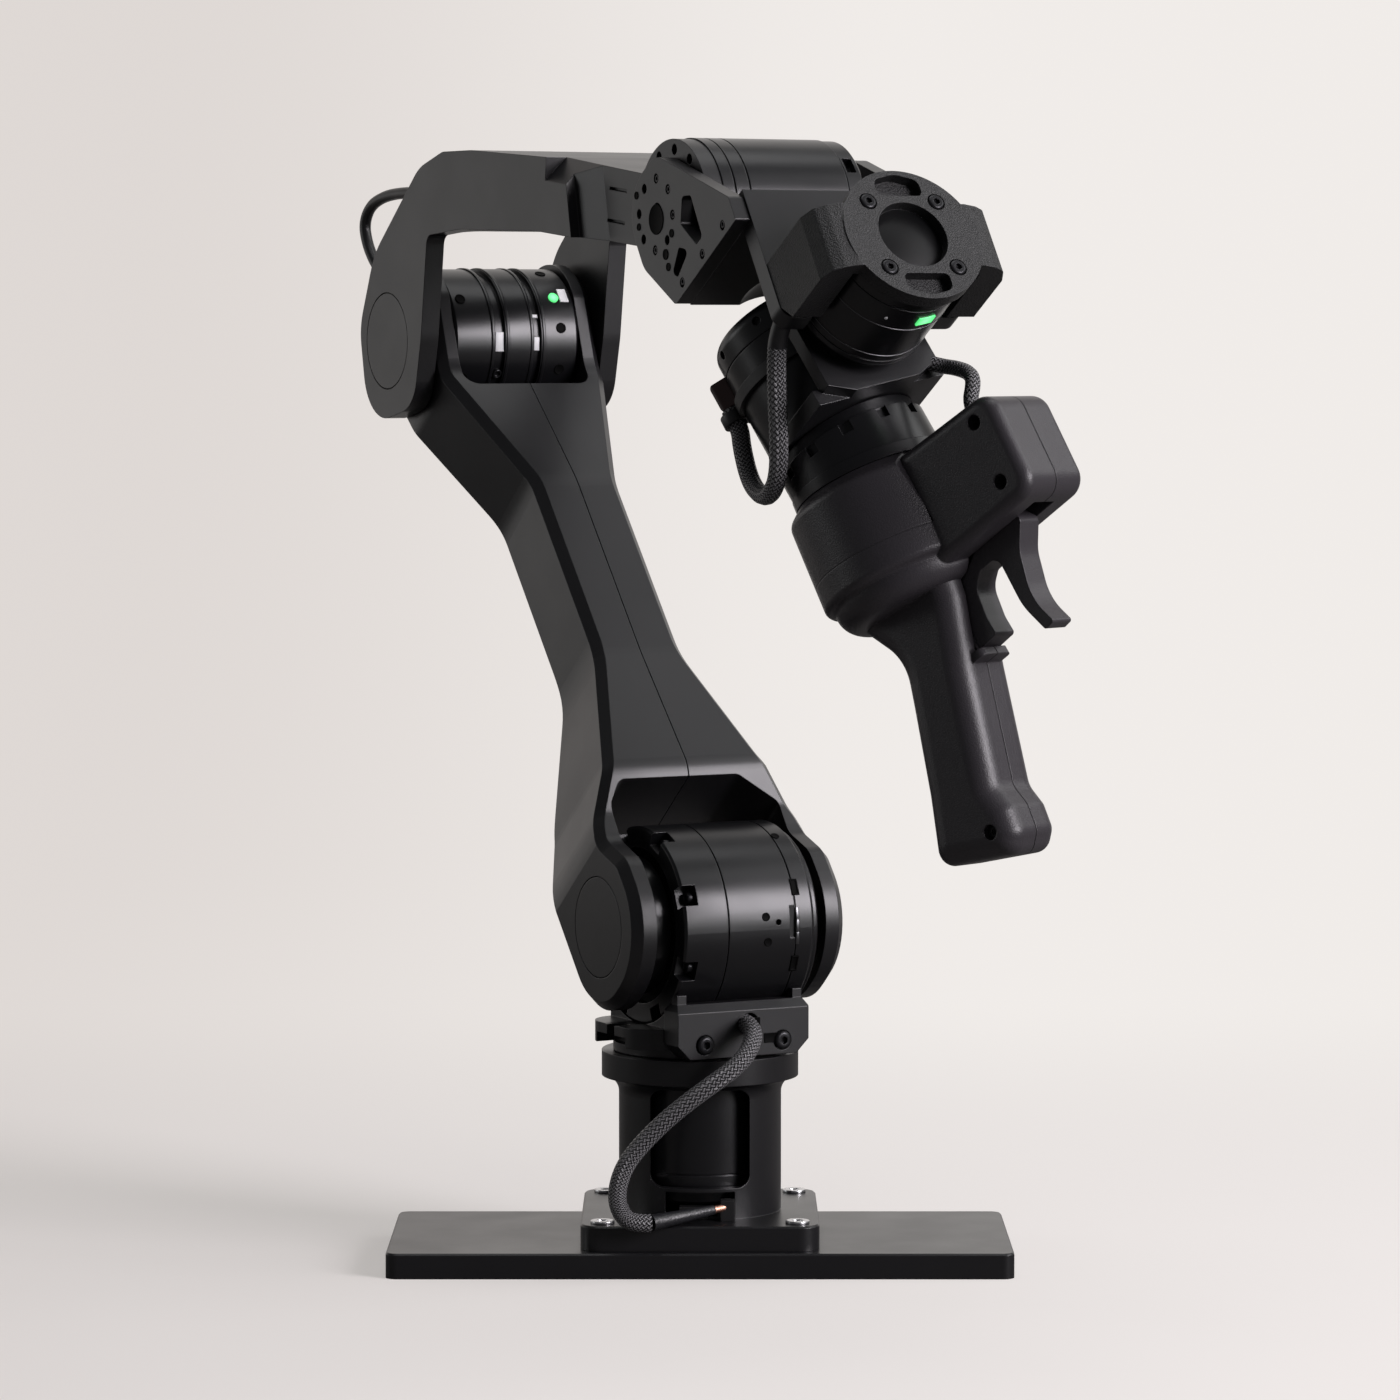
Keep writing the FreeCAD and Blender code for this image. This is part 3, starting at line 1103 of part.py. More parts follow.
def handle_screws():
    """Screws at the bottom of their wells in the left half."""
    floor = S.grip_width / 2 - S.well_depth
    return grouped(*[placed(cap_screw(3.0, 2.2, S.screw_shank, S.screw_grip), (a, b, floor))
                     for a, b in screw_spots()])


def trigger():
    """Two curved levers on one hub: the outer for squeezing, the inner for pushing back."""
    x, y = trigger_spot
    fork = padded("XY", "trigger_half * 2",
                  rounded([(103, y + 4, 3), (113, y + 10.5, 3), (124, y + 2.2, 18),
                           (143, y - 3.8, 25), (156.5, y + 0.2, 1.2), (157, y - 5.2, 1.2),
                           (143, y - 9.2, 30), (122, y - 8.3, 3), (119.3, y - 11, 2.5),
                           (119.3, y - 18.5, 2.5), (124, y - 24.5, 10), (137, y - 26.8, 12),
                           (145, y - 26.6, 1.5), (145.5, y - 37.3, 1.5), (121, y - 35, 10),
                           (112, y - 17, 10), (103, y - 5, 3)]), both=True)
    bore = rod("trigger_pin_radius + trigger_pin_gap", "trigger_half * 4",
               (x, y, -S.trigger_half * 2))
    return cut(fork, bore)


def trigger_pin():
    """Pivot of the trigger, held by both halves."""
    x, y = trigger_spot
    return rod("trigger_pin_radius", f"{S.handle_half * 1.5}", (x, y, -S.handle_half * 0.75))


node("roll_output", roll_output(), HANDLE_AXIS)
node("handle_adapter", handle_adapter(), HANDLE)
node("handle_collar", handle_collar(), HANDLE)
grip_and_head = handle()
centre = (S.grip_end / 2, 0, 0)
node("handle_left", half_of(grip_and_head, 1, S.grip_end * 2, centre), HANDLE)
node("handle_right", half_of(grip_and_head, -1, S.grip_end * 2, centre), HANDLE)
node("handle_screws", handle_screws(), HANDLE)
node("trigger", trigger(), HANDLE)
node("trigger_pin", trigger_pin(), HANDLE)


def finish():
    """Place every piece, test it and write it to its own file."""
    for thing, frame in nodes.values():
        thing.Placement = frame * thing.Placement
    doc.recompute()
    for thing in doc.Objects:
        if "Invalid" in thing.State or "Error" in thing.State:
            raise RuntimeError(f"{thing.Label} could not be built: {thing.State}")
    for label, (thing, _) in nodes.items():
        if thing.Shape.isNull() or not thing.Shape.isValid() or not thing.Shape.Solids:
            raise RuntimeError(f"{label} has no valid solid")
    os.makedirs("parts", exist_ok=True)
    for label, (thing, _) in nodes.items():
        thing.Shape.exportStep(f"parts/{label}.step")
    print(len(nodes), "pieces written")


finish()
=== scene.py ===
"""Looks of a six-axis desktop robot arm with a pistol grip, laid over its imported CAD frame.

Metres, +Z up, origin in the middle of the plate's underside, camera on the -Y side.
"""

import logging
import math
from dataclasses import dataclass, field
from enum import Enum
from typing import Sequence

import bpy
from mathutils import Matrix, Vector


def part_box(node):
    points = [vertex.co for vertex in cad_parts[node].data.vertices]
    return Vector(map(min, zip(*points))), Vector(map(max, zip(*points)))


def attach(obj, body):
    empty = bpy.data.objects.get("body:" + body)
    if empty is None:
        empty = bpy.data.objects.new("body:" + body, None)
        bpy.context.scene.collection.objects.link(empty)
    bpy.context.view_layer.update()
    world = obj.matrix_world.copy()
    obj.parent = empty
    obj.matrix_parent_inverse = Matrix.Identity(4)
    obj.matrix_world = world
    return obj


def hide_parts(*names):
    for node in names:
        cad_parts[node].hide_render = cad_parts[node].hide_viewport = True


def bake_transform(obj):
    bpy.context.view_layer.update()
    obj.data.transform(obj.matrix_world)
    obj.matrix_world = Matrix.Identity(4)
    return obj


log = logging.getLogger("robot_arm")
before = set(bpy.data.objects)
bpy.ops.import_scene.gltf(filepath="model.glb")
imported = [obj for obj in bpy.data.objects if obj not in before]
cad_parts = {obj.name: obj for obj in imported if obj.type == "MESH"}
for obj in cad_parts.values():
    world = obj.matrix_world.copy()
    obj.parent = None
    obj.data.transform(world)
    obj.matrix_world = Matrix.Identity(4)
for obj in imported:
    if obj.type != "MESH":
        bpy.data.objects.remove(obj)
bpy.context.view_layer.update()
MM_PER_M = 1000
SEAT = 0.0001
DEEP_SEAT = 0.0002
Point = tuple[float, float, float]
Colour = tuple[float, float, float]
Pair = tuple[float, float]
Spots = tuple[Pair, ...]
Inputs = dict[str | int, object]
Node = bpy.types.Node
Tree = bpy.types.NodeTree
Socket = bpy.types.NodeSocket
Outputs = bpy.types.NodeOutputs
Material = bpy.types.Material
Piece = bpy.types.Object
NUMBER = "NodeSocketFloat"
VECTOR = "NodeSocketVector"


def turn(axis: str, degrees: float) -> Matrix:
    """A turn about one axis of a frame."""
    return Matrix.Rotation(math.radians(degrees), 4, axis)


def shift(x: float = 0.0, y: float = 0.0, z: float = 0.0) -> Matrix:
    """A shift along a frame's axes."""
    return Matrix.Translation((x, y, z))


@dataclass(frozen=True)
class Pose:
    """Angles of the arm at rest, in degrees, and the lengths of its links."""

    base_yaw: float = -61.8
    upper_pitch: float = 129.9
    fore_pitch: float = 11.5
    wrist_pitch: float = -56.5
    wrist_yaw: float = 13.0
    handle_roll: float = -19.2
    shoulder_height: float = 0.148
    upper_length: float = 0.329
    fore_length: float = 0.2704
    yaw_offset: float = 0.07875


class Links:
    """Frames along the arm: X runs down a link and Z along the joints that lie across it."""

    def __init__(self, pose: Pose) -> None:
        """Work the frames out from the plate to the grip.

        Args:
            pose: Angles and lengths of the arm.
        """
        self.base = Matrix.Identity(4)
        self.turntable = turn("Z", pose.base_yaw)
        self.shoulder = self.turntable @ shift(z=pose.shoulder_height) @ turn("X", 90)
        self.upper = self.shoulder @ turn("Z", pose.upper_pitch)
        self.elbow = self.upper @ shift(pose.upper_length)
        self.fore = self.elbow @ turn("Z", pose.fore_pitch - pose.upper_pitch)
        bend = pose.wrist_pitch - pose.fore_pitch
        self.wrist = self.fore @ shift(pose.fore_length) @ turn("Z", bend)
        self.yaw_axis = self.wrist @ shift(pose.yaw_offset) @ turn("X", -90)
        self.roll = self.wrist @ shift(pose.yaw_offset) @ turn("Y", pose.wrist_yaw)
        self.roll_axis = self.roll @ turn("Y", 90)
        self.handle = self.roll @ turn("X", pose.handle_roll)


LINKS = Links(Pose())


class Body(Enum):
    """The CAD bodies that pieces ride on."""

    BASE = "base"
    SHOULDER = "shoulder"
    UPPER_ARM = "upper_arm"
    FOREARM = "forearm"
    WRIST = "wrist"
    ROLL_UNIT = "roll_unit"
    HANDLE = "handle"
    TRIGGER = "trigger"


class Slot(Enum):
    """The record's material slots that new pieces belong to."""

    ANODISED = "anodised_black"
    MOTOR = "motor_black"
    PLASTIC = "black_plastic"
    BRIGHT_SCREW = "bright_screw"
    DARK_SCREW = "dark_screw"
    BRAID = "braided_sleeve"


class Sheet:
    """A hand that lays nodes on a material or group tree."""

    def __init__(self, tree: Tree) -> None:
        """Start on an empty tree."""
        self.tree = tree
        tree.nodes.clear()

    def feed(self, node: Node, values: Inputs) -> None:
        """Link outputs to a node's inputs, or set plain values on them.

        Args:
            node: The node.
            values: Output of another node, or the value, for each input.
        """
        for name, value in values.items():
            if isinstance(value, Socket):
                self.tree.links.new(value, node.inputs[name])
            else:
                node.inputs[name].default_value = value

    def lay(self, kind: str, values: Inputs | None = None, **settings: object) -> Node:
        """Lay one node.

        Args:
            kind: Blender's type of the node.
            values: What feeds its inputs.
            settings: Properties set on it.

        Returns:
            The new node.
        """
        made = self.tree.nodes.new(kind)
        for name, value in settings.items():
            setattr(made, name, value)
        self.feed(made, values or {})
        return made

    def coordinates(self, kind: str) -> Socket:
        """Lay texture coordinates, such as Object or UV."""
        return self.lay("ShaderNodeTexCoord").outputs[kind]

    def sum(self, kind: str, *values: object, clamp: bool = False) -> Socket:
        """Lay a Math node of a kind over numbers or sockets."""
        inputs = dict(enumerate(values))
        return self.lay("ShaderNodeMath", inputs, operation=kind, use_clamp=clamp).outputs[0]

    def blend(self, share: object, first: Colour, second: Colour) -> Socket:
        """Mix two colours by the share of the second one."""
        inputs = {"Factor": share, "A": (*first, 1.0), "B": (*second, 1.0)}
        return self.lay("ShaderNodeMix", inputs, data_type="RGBA").outputs["Result"]

    def vary(self, share: Socket, middle: float, reach: float) -> Socket:
        """Stretch a value of 0 to 1 to a span on both sides of a middle."""
        inputs = {"Value": share, "To Min": middle - reach, "To Max": middle + reach}
        return self.lay("ShaderNodeMapRange", inputs).outputs["Result"]

    def ramp(self, value: Socket, ends: Pair, low: float = 0.0, high: float = 1.0) -> Socket:
        """Lay a smooth ramp.

        Args:
            value: What the ramp runs over.
            ends: Where it starts and ends.
            low: Result at its start.
            high: Result at its end.

        Returns:
            The result.
        """
        inputs = {"Value": value, "From Min": ends[0], "From Max": ends[1]}
        inputs |= {"To Min": low, "To Max": high}
        smooth = {"clamp": True, "interpolation_type": "SMOOTHSTEP"}
        return self.lay("ShaderNodeMapRange", inputs, **smooth).outputs["Result"]

    def mapped(self, origin: Point, **values: object) -> Socket:
        """Lay object coordinates in a frame with an origin and a Rotation or Scale."""
        inputs = {"Vector": self.coordinates("Object"), "Location": origin, **values}
        return self.lay("ShaderNodeMapping", inputs, vector_type="TEXTURE").outputs["Vector"]

    def bump(self, height: Socket, depth: float, under: Socket | None = None) -> Socket:
        """Lay a relief.

        Args:
            height: Its height, from 0 to 1.
            depth: How deep it is.
            under: Normal that it lies on, where that isn't the mesh's own.

        Returns:
            The new normal.
        """
        inputs = {"Height": height, "Distance": depth}
        if under is not None:
            inputs["Normal"] = under
        return self.lay("ShaderNodeBump", inputs).outputs["Normal"]

    def group(self, tree: Tree, **values: object) -> Outputs:
        """Lay a shared group with the values of its inputs, and give its outputs."""
        return self.lay("ShaderNodeGroup", values, node_tree=tree).outputs


class SharedEffects:
    """Node groups that several finishes use, each built once."""

    EDGE_SAMPLES = 6
    EDGE_GAIN = 5.0
    FINE_DETAIL = 2.0
    BROAD_DETAIL = 4.0
    GLINT_POWER = 5.0

    def __init__(self) -> None:
        """Build the groups."""
        self.edges = self.broken_edges()
        self.grain = self.surface_grain()
        self.braid = self.braid_weave()
        self.rings = self.turned_rings()

    @staticmethod
    def start(
        name: str, inputs: dict[str, str], outputs: dict[str, str]
    ) -> tuple[Sheet, Outputs, Node]:
        """Begin a group.

        Args:
            name: Name of the group.
            inputs: Kind of each input.
            outputs: Kind of each output.

        Returns:
            Its sheet, what its inputs give and its output node.
        """
        tree = bpy.data.node_groups.new(name, "ShaderNodeTree")
        sheet = Sheet(tree)
        for way, sockets in (("INPUT", inputs), ("OUTPUT", outputs)):
            for label, kind in sockets.items():
                tree.interface.new_socket(label, in_out=way, socket_type=kind)
        return sheet, sheet.lay("NodeGroupInput").outputs, sheet.lay("NodeGroupOutput")

    def broken_edges(self) -> Tree:
        """Rounded shading along sharp edges, and a mask of those edges.

        Returns:
            The group.
        """
        sheet, give, out = self.start(
            "Broken edges", {"Radius": NUMBER}, {"Normal": VECTOR, "Edge": NUMBER}
        )
        bevel = sheet.lay("ShaderNodeBevel", {"Radius": give["Radius"]}, samples=self.EDGE_SAMPLES)
        flat = sheet.lay("ShaderNodeNewGeometry")
        normals = {0: bevel.outputs["Normal"], 1: flat.outputs["Normal"]}
        dot = sheet.lay("ShaderNodeVectorMath", normals, operation="DOT_PRODUCT")
        edge = sheet.sum("SUBTRACT", 1.0, dot.outputs["Value"])
        mask = sheet.sum("MULTIPLY", edge, self.EDGE_GAIN, clamp=True)
        sheet.feed(out, {"Edge": mask, "Normal": bevel.outputs["Normal"]})
        return sheet.tree

    def surface_grain(self) -> Tree:
        """Fine blasted or moulded grain, and broad patches of handling.

        Returns:
            The group.
        """
        sheet, give, out = self.start(
            "Surface grain", {"Grain": NUMBER, "Patch": NUMBER},
            {"Height": NUMBER, "Patches": NUMBER},
        )
        place = sheet.coordinates("Object")
        layers = (("Height", "Grain", self.FINE_DETAIL), ("Patches", "Patch", self.BROAD_DETAIL))
        for label, size, detail in layers:
            scale = sheet.sum("DIVIDE", 1.0, give[size])
            inputs = {"Vector": place, "Scale": scale, "Detail": detail}
            sheet.feed(out, {label: sheet.lay("ShaderNodeTexNoise", inputs).outputs["Fac"]})
        return sheet.tree

    def braid_weave(self) -> Tree:
        """Two sets of strands that cross over and under round a cord, on its UV map.

        Returns:
            The group.
        """
        sheet, give, out = self.start(
            "Braid weave", {"Cells": NUMBER, "Strands": NUMBER},
            {"Height": NUMBER, "Glint": NUMBER, "Along": NUMBER},
        )
        parts = sheet.lay("ShaderNodeSeparateXYZ", {0: sheet.coordinates("UV")}).outputs
        along = sheet.sum("MULTIPLY", parts["X"], give["Cells"])
        about = sheet.sum("MULTIPLY", parts["Y"], give["Strands"])
        right = sheet.sum("ADD", along, about)
        left = sheet.sum("SUBTRACT", along, about)
        crests = []
        for run in (right, left):
            wave = sheet.sum("SINE", sheet.sum("MULTIPLY", run, math.pi))
            crests.append(sheet.sum("ABSOLUTE", wave))
        whole = sheet.sum("ADD", sheet.sum("FLOOR", right), sheet.sum("FLOOR", left))
        over = sheet.sum("MODULO", sheet.sum("ABSOLUTE", whole), 2.0)
        top = sheet.sum("MULTIPLY", crests[0], over)
        low = sheet.sum("MULTIPLY", crests[1], sheet.sum("SUBTRACT", 1.0, over))
        height = sheet.sum("ADD", top, low)
        # Glint masks the crests of the strands for a painted highlight.
        glint = sheet.sum("POWER", height, self.GLINT_POWER)
        sheet.feed(out, {"Height": height, "Glint": glint, "Along": parts["X"]})
        return sheet.tree

    def turned_rings(self) -> Tree:
        """Fine lathe rings across a frame's Z axis.

        Returns:
            The group.
        """
        sheet, give, out = self.start(
            "Turned rings", {"Place": VECTOR, "Pitch": NUMBER}, {"Height": NUMBER}
        )
        along = sheet.lay("ShaderNodeSeparateXYZ", {0: give["Place"]}).outputs["Z"]
        inputs = {"W": sheet.sum("DIVIDE", along, give["Pitch"]), "Scale": 1.0}
        noise = sheet.lay("ShaderNodeTexNoise", inputs, noise_dimensions="1D")
        sheet.feed(out, {"Height": noise.outputs["Fac"]})
        return sheet.tree


EFFECTS = SharedEffects()


def start_material(name: str) -> tuple[Material, Sheet, Node]:
    """Begin a material with one Principled shader.

    Args:
        name: Name of the material.

    Returns:
        The material, its sheet and its shader.
    """
    made = bpy.data.materials.new(name)
    made.use_nodes = True
    sheet = Sheet(made.node_tree)
    shader = sheet.lay("ShaderNodeBsdfPrincipled")
    sheet.lay("ShaderNodeOutputMaterial", {"Surface": shader.outputs[0]})
    return made, sheet, shader


@dataclass(frozen=True)
class Finish:
    """A hard finish: its colours, gloss, grain and a painted highlight along its edges."""

    name: str
    tint: Colour
    # Colour of the painted highlight along the edges.
    edge_highlight_tint: Colour
    roughness: float
    metallic: float = 0.0
    specular: float = 0.5
    gloss_spread: float = 0.06
    grain: float = 0.0004
    grain_depth: float = 0.000008
    patch: float = 0.03
    edge_radius: float = 0.0005
    edge_highlight_share: float = 0.5

    def material(self) -> Material:
        """The finish as a material, made at its first use.

        Returns:
            The material.
        """
        known = bpy.data.materials.get(self.name)
        if known:
            return known
        made, sheet, shader = start_material(self.name)
        sheet.feed(shader, {"Metallic": self.metallic, "Specular IOR Level": self.specular})
        self.colour(sheet, shader)
        return made

    def colour(self, sheet: Sheet, shader: Node) -> None:
        """Lay the nodes for colour, gloss and relief.

        Args:
            sheet: Sheet of the material.
            shader: Its shader.
        """
        edges = sheet.group(EFFECTS.edges, Radius=self.edge_radius)
        grain = sheet.group(EFFECTS.grain, Grain=self.grain, Patch=self.patch)
        # Edges are blended towards the edge tint: a painted highlight where rounded edges catch
        # the light.
        painted_edge_highlight = sheet.sum("MULTIPLY", edges["Edge"], self.edge_highlight_share)
        looks = {
            "Base Color": sheet.blend(painted_edge_highlight, self.tint, self.edge_highlight_tint),
            "Roughness": sheet.vary(grain["Patches"], self.roughness, self.gloss_spread),
            "Normal": sheet.bump(grain["Height"], self.grain_depth, edges["Normal"]),
        }
        sheet.feed(shader, looks)


@dataclass(frozen=True)
class TurnedFinish(Finish):
    """The glossy finish of a motor, with fine lathe lines across the Z axis of a frame."""

    tint: Colour = (0.006, 0.006, 0.007)
    edge_highlight_tint: Colour = (0.04, 0.04, 0.044)
    roughness: float = 0.3
    metallic: float = 0.2
    grain_depth: float = 0.000003
    axis: Matrix = field(compare=False, kw_only=True)
    pitch: float = 0.0005
    line_depth: float = 0.000006

    def colour(self, sheet: Sheet, shader: Node) -> None:
        """Lay the nodes for colour, gloss and relief, with the lathe lines over the grain.

        Args:
            sheet: Sheet of the material.
            shader: Its shader.
        """
        super().colour(sheet, shader)
        place = sheet.mapped(self.axis.to_translation(), Rotation=self.axis.to_euler())
        lines = sheet.group(EFFECTS.rings, Place=place, Pitch=self.pitch)
        under = shader.inputs["Normal"].links[0].from_socket
        sheet.feed(shader, {"Normal": sheet.bump(lines["Height"], self.line_depth, under)})


@dataclass(frozen=True)
class BraidFinish:
    """A woven cord sleeve, with a plain sleeve over its first stretch where there is one."""

    name: str
    length: float
    radius: float
    strands: float
    plain_share: float
    tint: Colour = (0.007, 0.007, 0.008)
    # The glint colour is a painted highlight on the crests of the strands.
    glint: Colour = (0.24, 0.235, 0.245)
    relief: float = 0.0005
    roughness: float = 0.42
    gloss_spread: float = 0.08
    grain: float = 0.0003
    patch: float = 0.01

    def material(self) -> Material:
        """The sleeve as a material.

        Returns:
            The material.
        """
        made, sheet, shader = start_material(self.name)
        cell = 2 * math.pi * self.radius / self.strands
        weave = sheet.group(EFFECTS.braid, Cells=self.length / cell, Strands=self.strands)
        grain = sheet.group(EFFECTS.grain, Grain=self.grain, Patch=self.patch)
        woven = sheet.sum("GREATER_THAN", weave["Along"], self.plain_share)
        # Crests are blended towards the glint colour: a painted highlight.
        share = sheet.sum("MULTIPLY", weave["Glint"], woven)
        height = sheet.sum("MULTIPLY", weave["Height"], woven)
        looks = {
            "Base Color": sheet.blend(share, self.tint, self.glint),
            "Roughness": sheet.vary(grain["Patches"], self.roughness, self.gloss_spread),
            "Normal": sheet.bump(height, self.relief),
        }
        sheet.feed(shader, looks)
        return made


@dataclass(frozen=True)
class LampFinish:
    """A lit lamp window, brightest in its middle."""

    name: str
    centre: Point
    radius: float
    core: Colour = (0.22, 1.0, 0.34)
    rim: Colour = (0.0, 0.42, 0.07)
    strength: float = 1.3
    roughness: float = 0.2

    @classmethod
    def on(cls, node: str) -> "LampFinish":
        """The glow of a lamp, centred on its CAD node."""
        low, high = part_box(node)
        return cls(node + "_glow", tuple((low + high) / 2), (high - low).length / 2)

    def material(self) -> Material:
        """The lamp as a material.

        Returns:
            The material.
        """
        made, sheet, shader = start_material(self.name)
        place = sheet.mapped(self.centre, Scale=(self.radius,) * 3)
        ball = sheet.lay("ShaderNodeTexGradient", {"Vector": place}, gradient_type="SPHERICAL")
        glow = sheet.blend(ball.outputs["Fac"], self.rim, self.core)
        looks = {"Base Color": glow, "Emission Color": glow}
        looks |= {"Emission Strength": self.strength, "Roughness": self.roughness}
        sheet.feed(shader, looks)
        return made


Look = Finish | LampFinish
ANODISED = Finish(
    "satin_anodised", (0.009, 0.0088, 0.0098), (0.03, 0.03, 0.033), 0.36, specular=0.45
)
PLATE = Finish(
    "plate_anodised", (0.008, 0.0078, 0.0088), (0.03, 0.03, 0.033), 0.32, specular=0.42
)
BLASTED = Finish(
    "blasted_cap", (0.005, 0.005, 0.0055), (0.02, 0.02, 0.022), 0.5,
    grain=0.0006, grain_depth=0.0005,
)
PLASTIC = Finish(
    "moulded_plastic", (0.030, 0.027, 0.031), (0.03, 0.03, 0.032), 0.38, specular=0.45,
    grain=0.0006, grain_depth=0.00012, edge_radius=0.0009, edge_highlight_share=0.25,
)
SOFT_PLASTIC = Finish("socket_plastic", (0.005, 0.005, 0.0055), (0.02, 0.02, 0.02), 0.5)
BRIGHT_STEEL = Finish("bright_steel", (0.62, 0.62, 0.63), (0.8, 0.8, 0.8), 0.28, 1.0)
RIM_GREY = Finish("grey_rim", (0.11, 0.11, 0.115), (0.2, 0.2, 0.2), 0.3, 1.0)
# Near-black disc on the floor of the cap's well: painted shade.
PAINTED_WELL_SHADE = Finish("painted_well_shade", (0.003, 0.003, 0.0034), (0.02, 0.02, 0.02), 0.4, specular=0.22)
DARK_STEEL = Finish("black_oxide", (0.018, 0.018, 0.02), (0.12, 0.12, 0.125), 0.32, 0.7)
# Near-black with almost no gloss: painted shade for holes, ports, slots and the shoulder motor's
# core.
SHADOW_BLACK = Finish(
    "painted_shade_black", (0.003, 0.003, 0.003), (0.008, 0.008, 0.008), 0.6, specular=0.04
)
PALE_INSERT = Finish(
    "pale_insert", (0.72, 0.72, 0.73), (0.8, 0.8, 0.8), 0.4, grain_depth=0.00004
)
RED_PLUG = Finish("plug_red", (0.03, 0.009, 0.007), (0.07, 0.018, 0.014), 0.5)
SHRINK = Finish(
    "shrink_tube", (0.012, 0.012, 0.014), (0.02, 0.02, 0.022), 0.38,
    grain=0.0025, grain_depth=0.0003,
)
COPPER = Finish(
    "tinned_copper", (0.55, 0.3, 0.22), (0.7, 0.45, 0.35), 0.35, 1.0, grain_depth=0.0001
)
ELBOW_MOTOR = TurnedFinish("elbow_motor_black", axis=LINKS.upper)


def dress(piece: Piece, material: Material) -> None:
    """Give a piece one material."""
    piece.data.materials.clear()
    piece.data.materials.append(material)


class Bench:
    """Modelling with operators: a primitive is started, shaped and copied to its places."""

    TOP_NORMAL = 0.9
    BEVEL_ANGLE = math.radians(40)
    BEVEL_STEPS = 2
    BAND_SIDES = 96
    BAND_ROUNDING = 0.3

    @staticmethod
    def hold(piece: Piece) -> None:
        """Select one piece alone.

        Args:
            piece: The piece.
        """
        bpy.ops.object.select_all(action="DESELECT")
        piece.select_set(True)
        bpy.context.view_layer.objects.active = piece

    @staticmethod
    def settle() -> Piece:
        """Put the place and size of the newest primitive into its mesh."""
        bpy.ops.object.transform_apply(location=True, rotation=True, scale=True)
        return bpy.context.active_object

    @staticmethod
    def change(piece: Piece, kind: str, **settings: object) -> Piece:
        """Change a piece with one modifier.

        Args:
            piece: The piece.
            kind: Blender's type of the modifier.
            settings: Properties set on it.

        Returns:
            The same piece.
        """
        Bench.hold(piece)
        made = piece.modifiers.new(kind.lower(), kind)
        for name, value in settings.items():
            setattr(made, name, value)
        bpy.ops.object.modifier_apply(modifier=made.name)
        return piece

    @staticmethod
    def soften(piece: Piece, width: float) -> Piece:
        """Round the sharp edges of a piece."""
        return Bench.change(
            piece, "BEVEL", width=width, segments=Bench.BEVEL_STEPS,
            limit_method="ANGLE", angle_limit=Bench.BEVEL_ANGLE,
        )

    @staticmethod
    def sink(piece: Piece, rim: float, depth: float) -> None:
        """Leave a rim round the top of a piece and push the middle in.

        Args:
            piece: Cylinder or block to shape.
            rim: Width of the rim.
            depth: How far the middle goes in.
        """
        Bench.hold(piece)
        bpy.ops.object.mode_set(mode="EDIT")
        bpy.ops.mesh.select_mode(type="FACE")
        bpy.ops.mesh.select_all(action="DESELECT")
        bpy.ops.object.mode_set(mode="OBJECT")
        for face in piece.data.polygons:
            face.select = face.normal.z > Bench.TOP_NORMAL
        bpy.ops.object.mode_set(mode="EDIT")
        bpy.ops.mesh.inset(thickness=rim, depth=0.0)
        bpy.ops.mesh.extrude_region_move(TRANSFORM_OT_translate={"value": (0.0, 0.0, -depth)})
        bpy.ops.object.mode_set(mode="OBJECT")

    @staticmethod
    def band(radius: float, middle: float, half: float, wall: float) -> Piece:
        """A thin band round a frame's Z axis.

        Args:
            radius: Inner radius.
            middle: Place of its middle along Z.
            half: Half of its length.
            wall: Thickness outwards.

        Returns:
            The band.
        """
        low, high = middle - half, middle + half
        bpy.ops.mesh.primitive_cylinder_add(
            vertices=Bench.BAND_SIDES,
            radius=radius,
            depth=high - low,
            end_fill_type="NOTHING",
            location=(0.0, 0.0, (low + high) / 2),
        )
        piece = Bench.change(Bench.settle(), "SOLIDIFY", thickness=wall, offset=1.0)
        return Bench.soften(piece, min(wall, high - low) * Bench.BAND_ROUNDING)

    @staticmethod
    def spread(piece: Piece, places: Sequence[Matrix]) -> Piece:
        """Copy a piece to its places and join the copies.

        Args:
            piece: The first piece, modelled at the origin.
            places: Frame of each copy.

        Returns:
            One piece with all copies.
        """
        copies = []
        for place in places:
            copy = bpy.data.objects.new(piece.name, piece.data.copy())
            bpy.context.collection.objects.link(copy)
            copy.data.transform(place)
            copies.append(copy)
        bpy.data.objects.remove(piece)
        Bench.hold(copies[0])
        for copy in copies:
            copy.select_set(True)
        if len(copies) > 1:
            bpy.ops.object.join()
        return bpy.context.view_layer.objects.active


@dataclass(frozen=True, kw_only=True)
class Inlay:
    """A small piece that is set into a face; where it has a rim, its middle is sunk."""

    depth: float = 0.0004
    rim: float = 0.0
    sink: float = 0.0001
    rounding: float = 0.0001

    def blank(self) -> Piece:
        """Start the piece on its frame's floor; each kind has its own outline."""
        raise NotImplementedError

    def build(self) -> Piece:
        """Model the piece at the origin.

        Returns:
            The piece.
        """
        piece = self.blank()
        if self.rim:
            Bench.sink(piece, self.rim, self.sink)
        return Bench.soften(piece, self.rounding)


@dataclass(frozen=True, kw_only=True)
class Disc(Inlay):
    """A round inlay."""

    radius: float
    sides: int = 24

    def blank(self) -> Piece:
        """Start a short cylinder on its frame's floor."""
        middle = (0.0, 0.0, self.depth / 2)
        bpy.ops.mesh.primitive_cylinder_add(
            vertices=self.sides, radius=self.radius, depth=self.depth, location=middle
        )
        return Bench.settle()


@dataclass(frozen=True, kw_only=True)
class Block(Inlay):
    """An oblong inlay: its length lies along X and its width along Y."""

    length: float
    width: float

    def blank(self) -> Piece:
        """Start a flat block on its frame's floor."""
        bpy.ops.mesh.primitive_cube_add(size=1.0, location=(0.0, 0.0, self.depth / 2))
        bpy.context.active_object.scale = (self.length, self.width, self.depth)
        return Bench.settle()


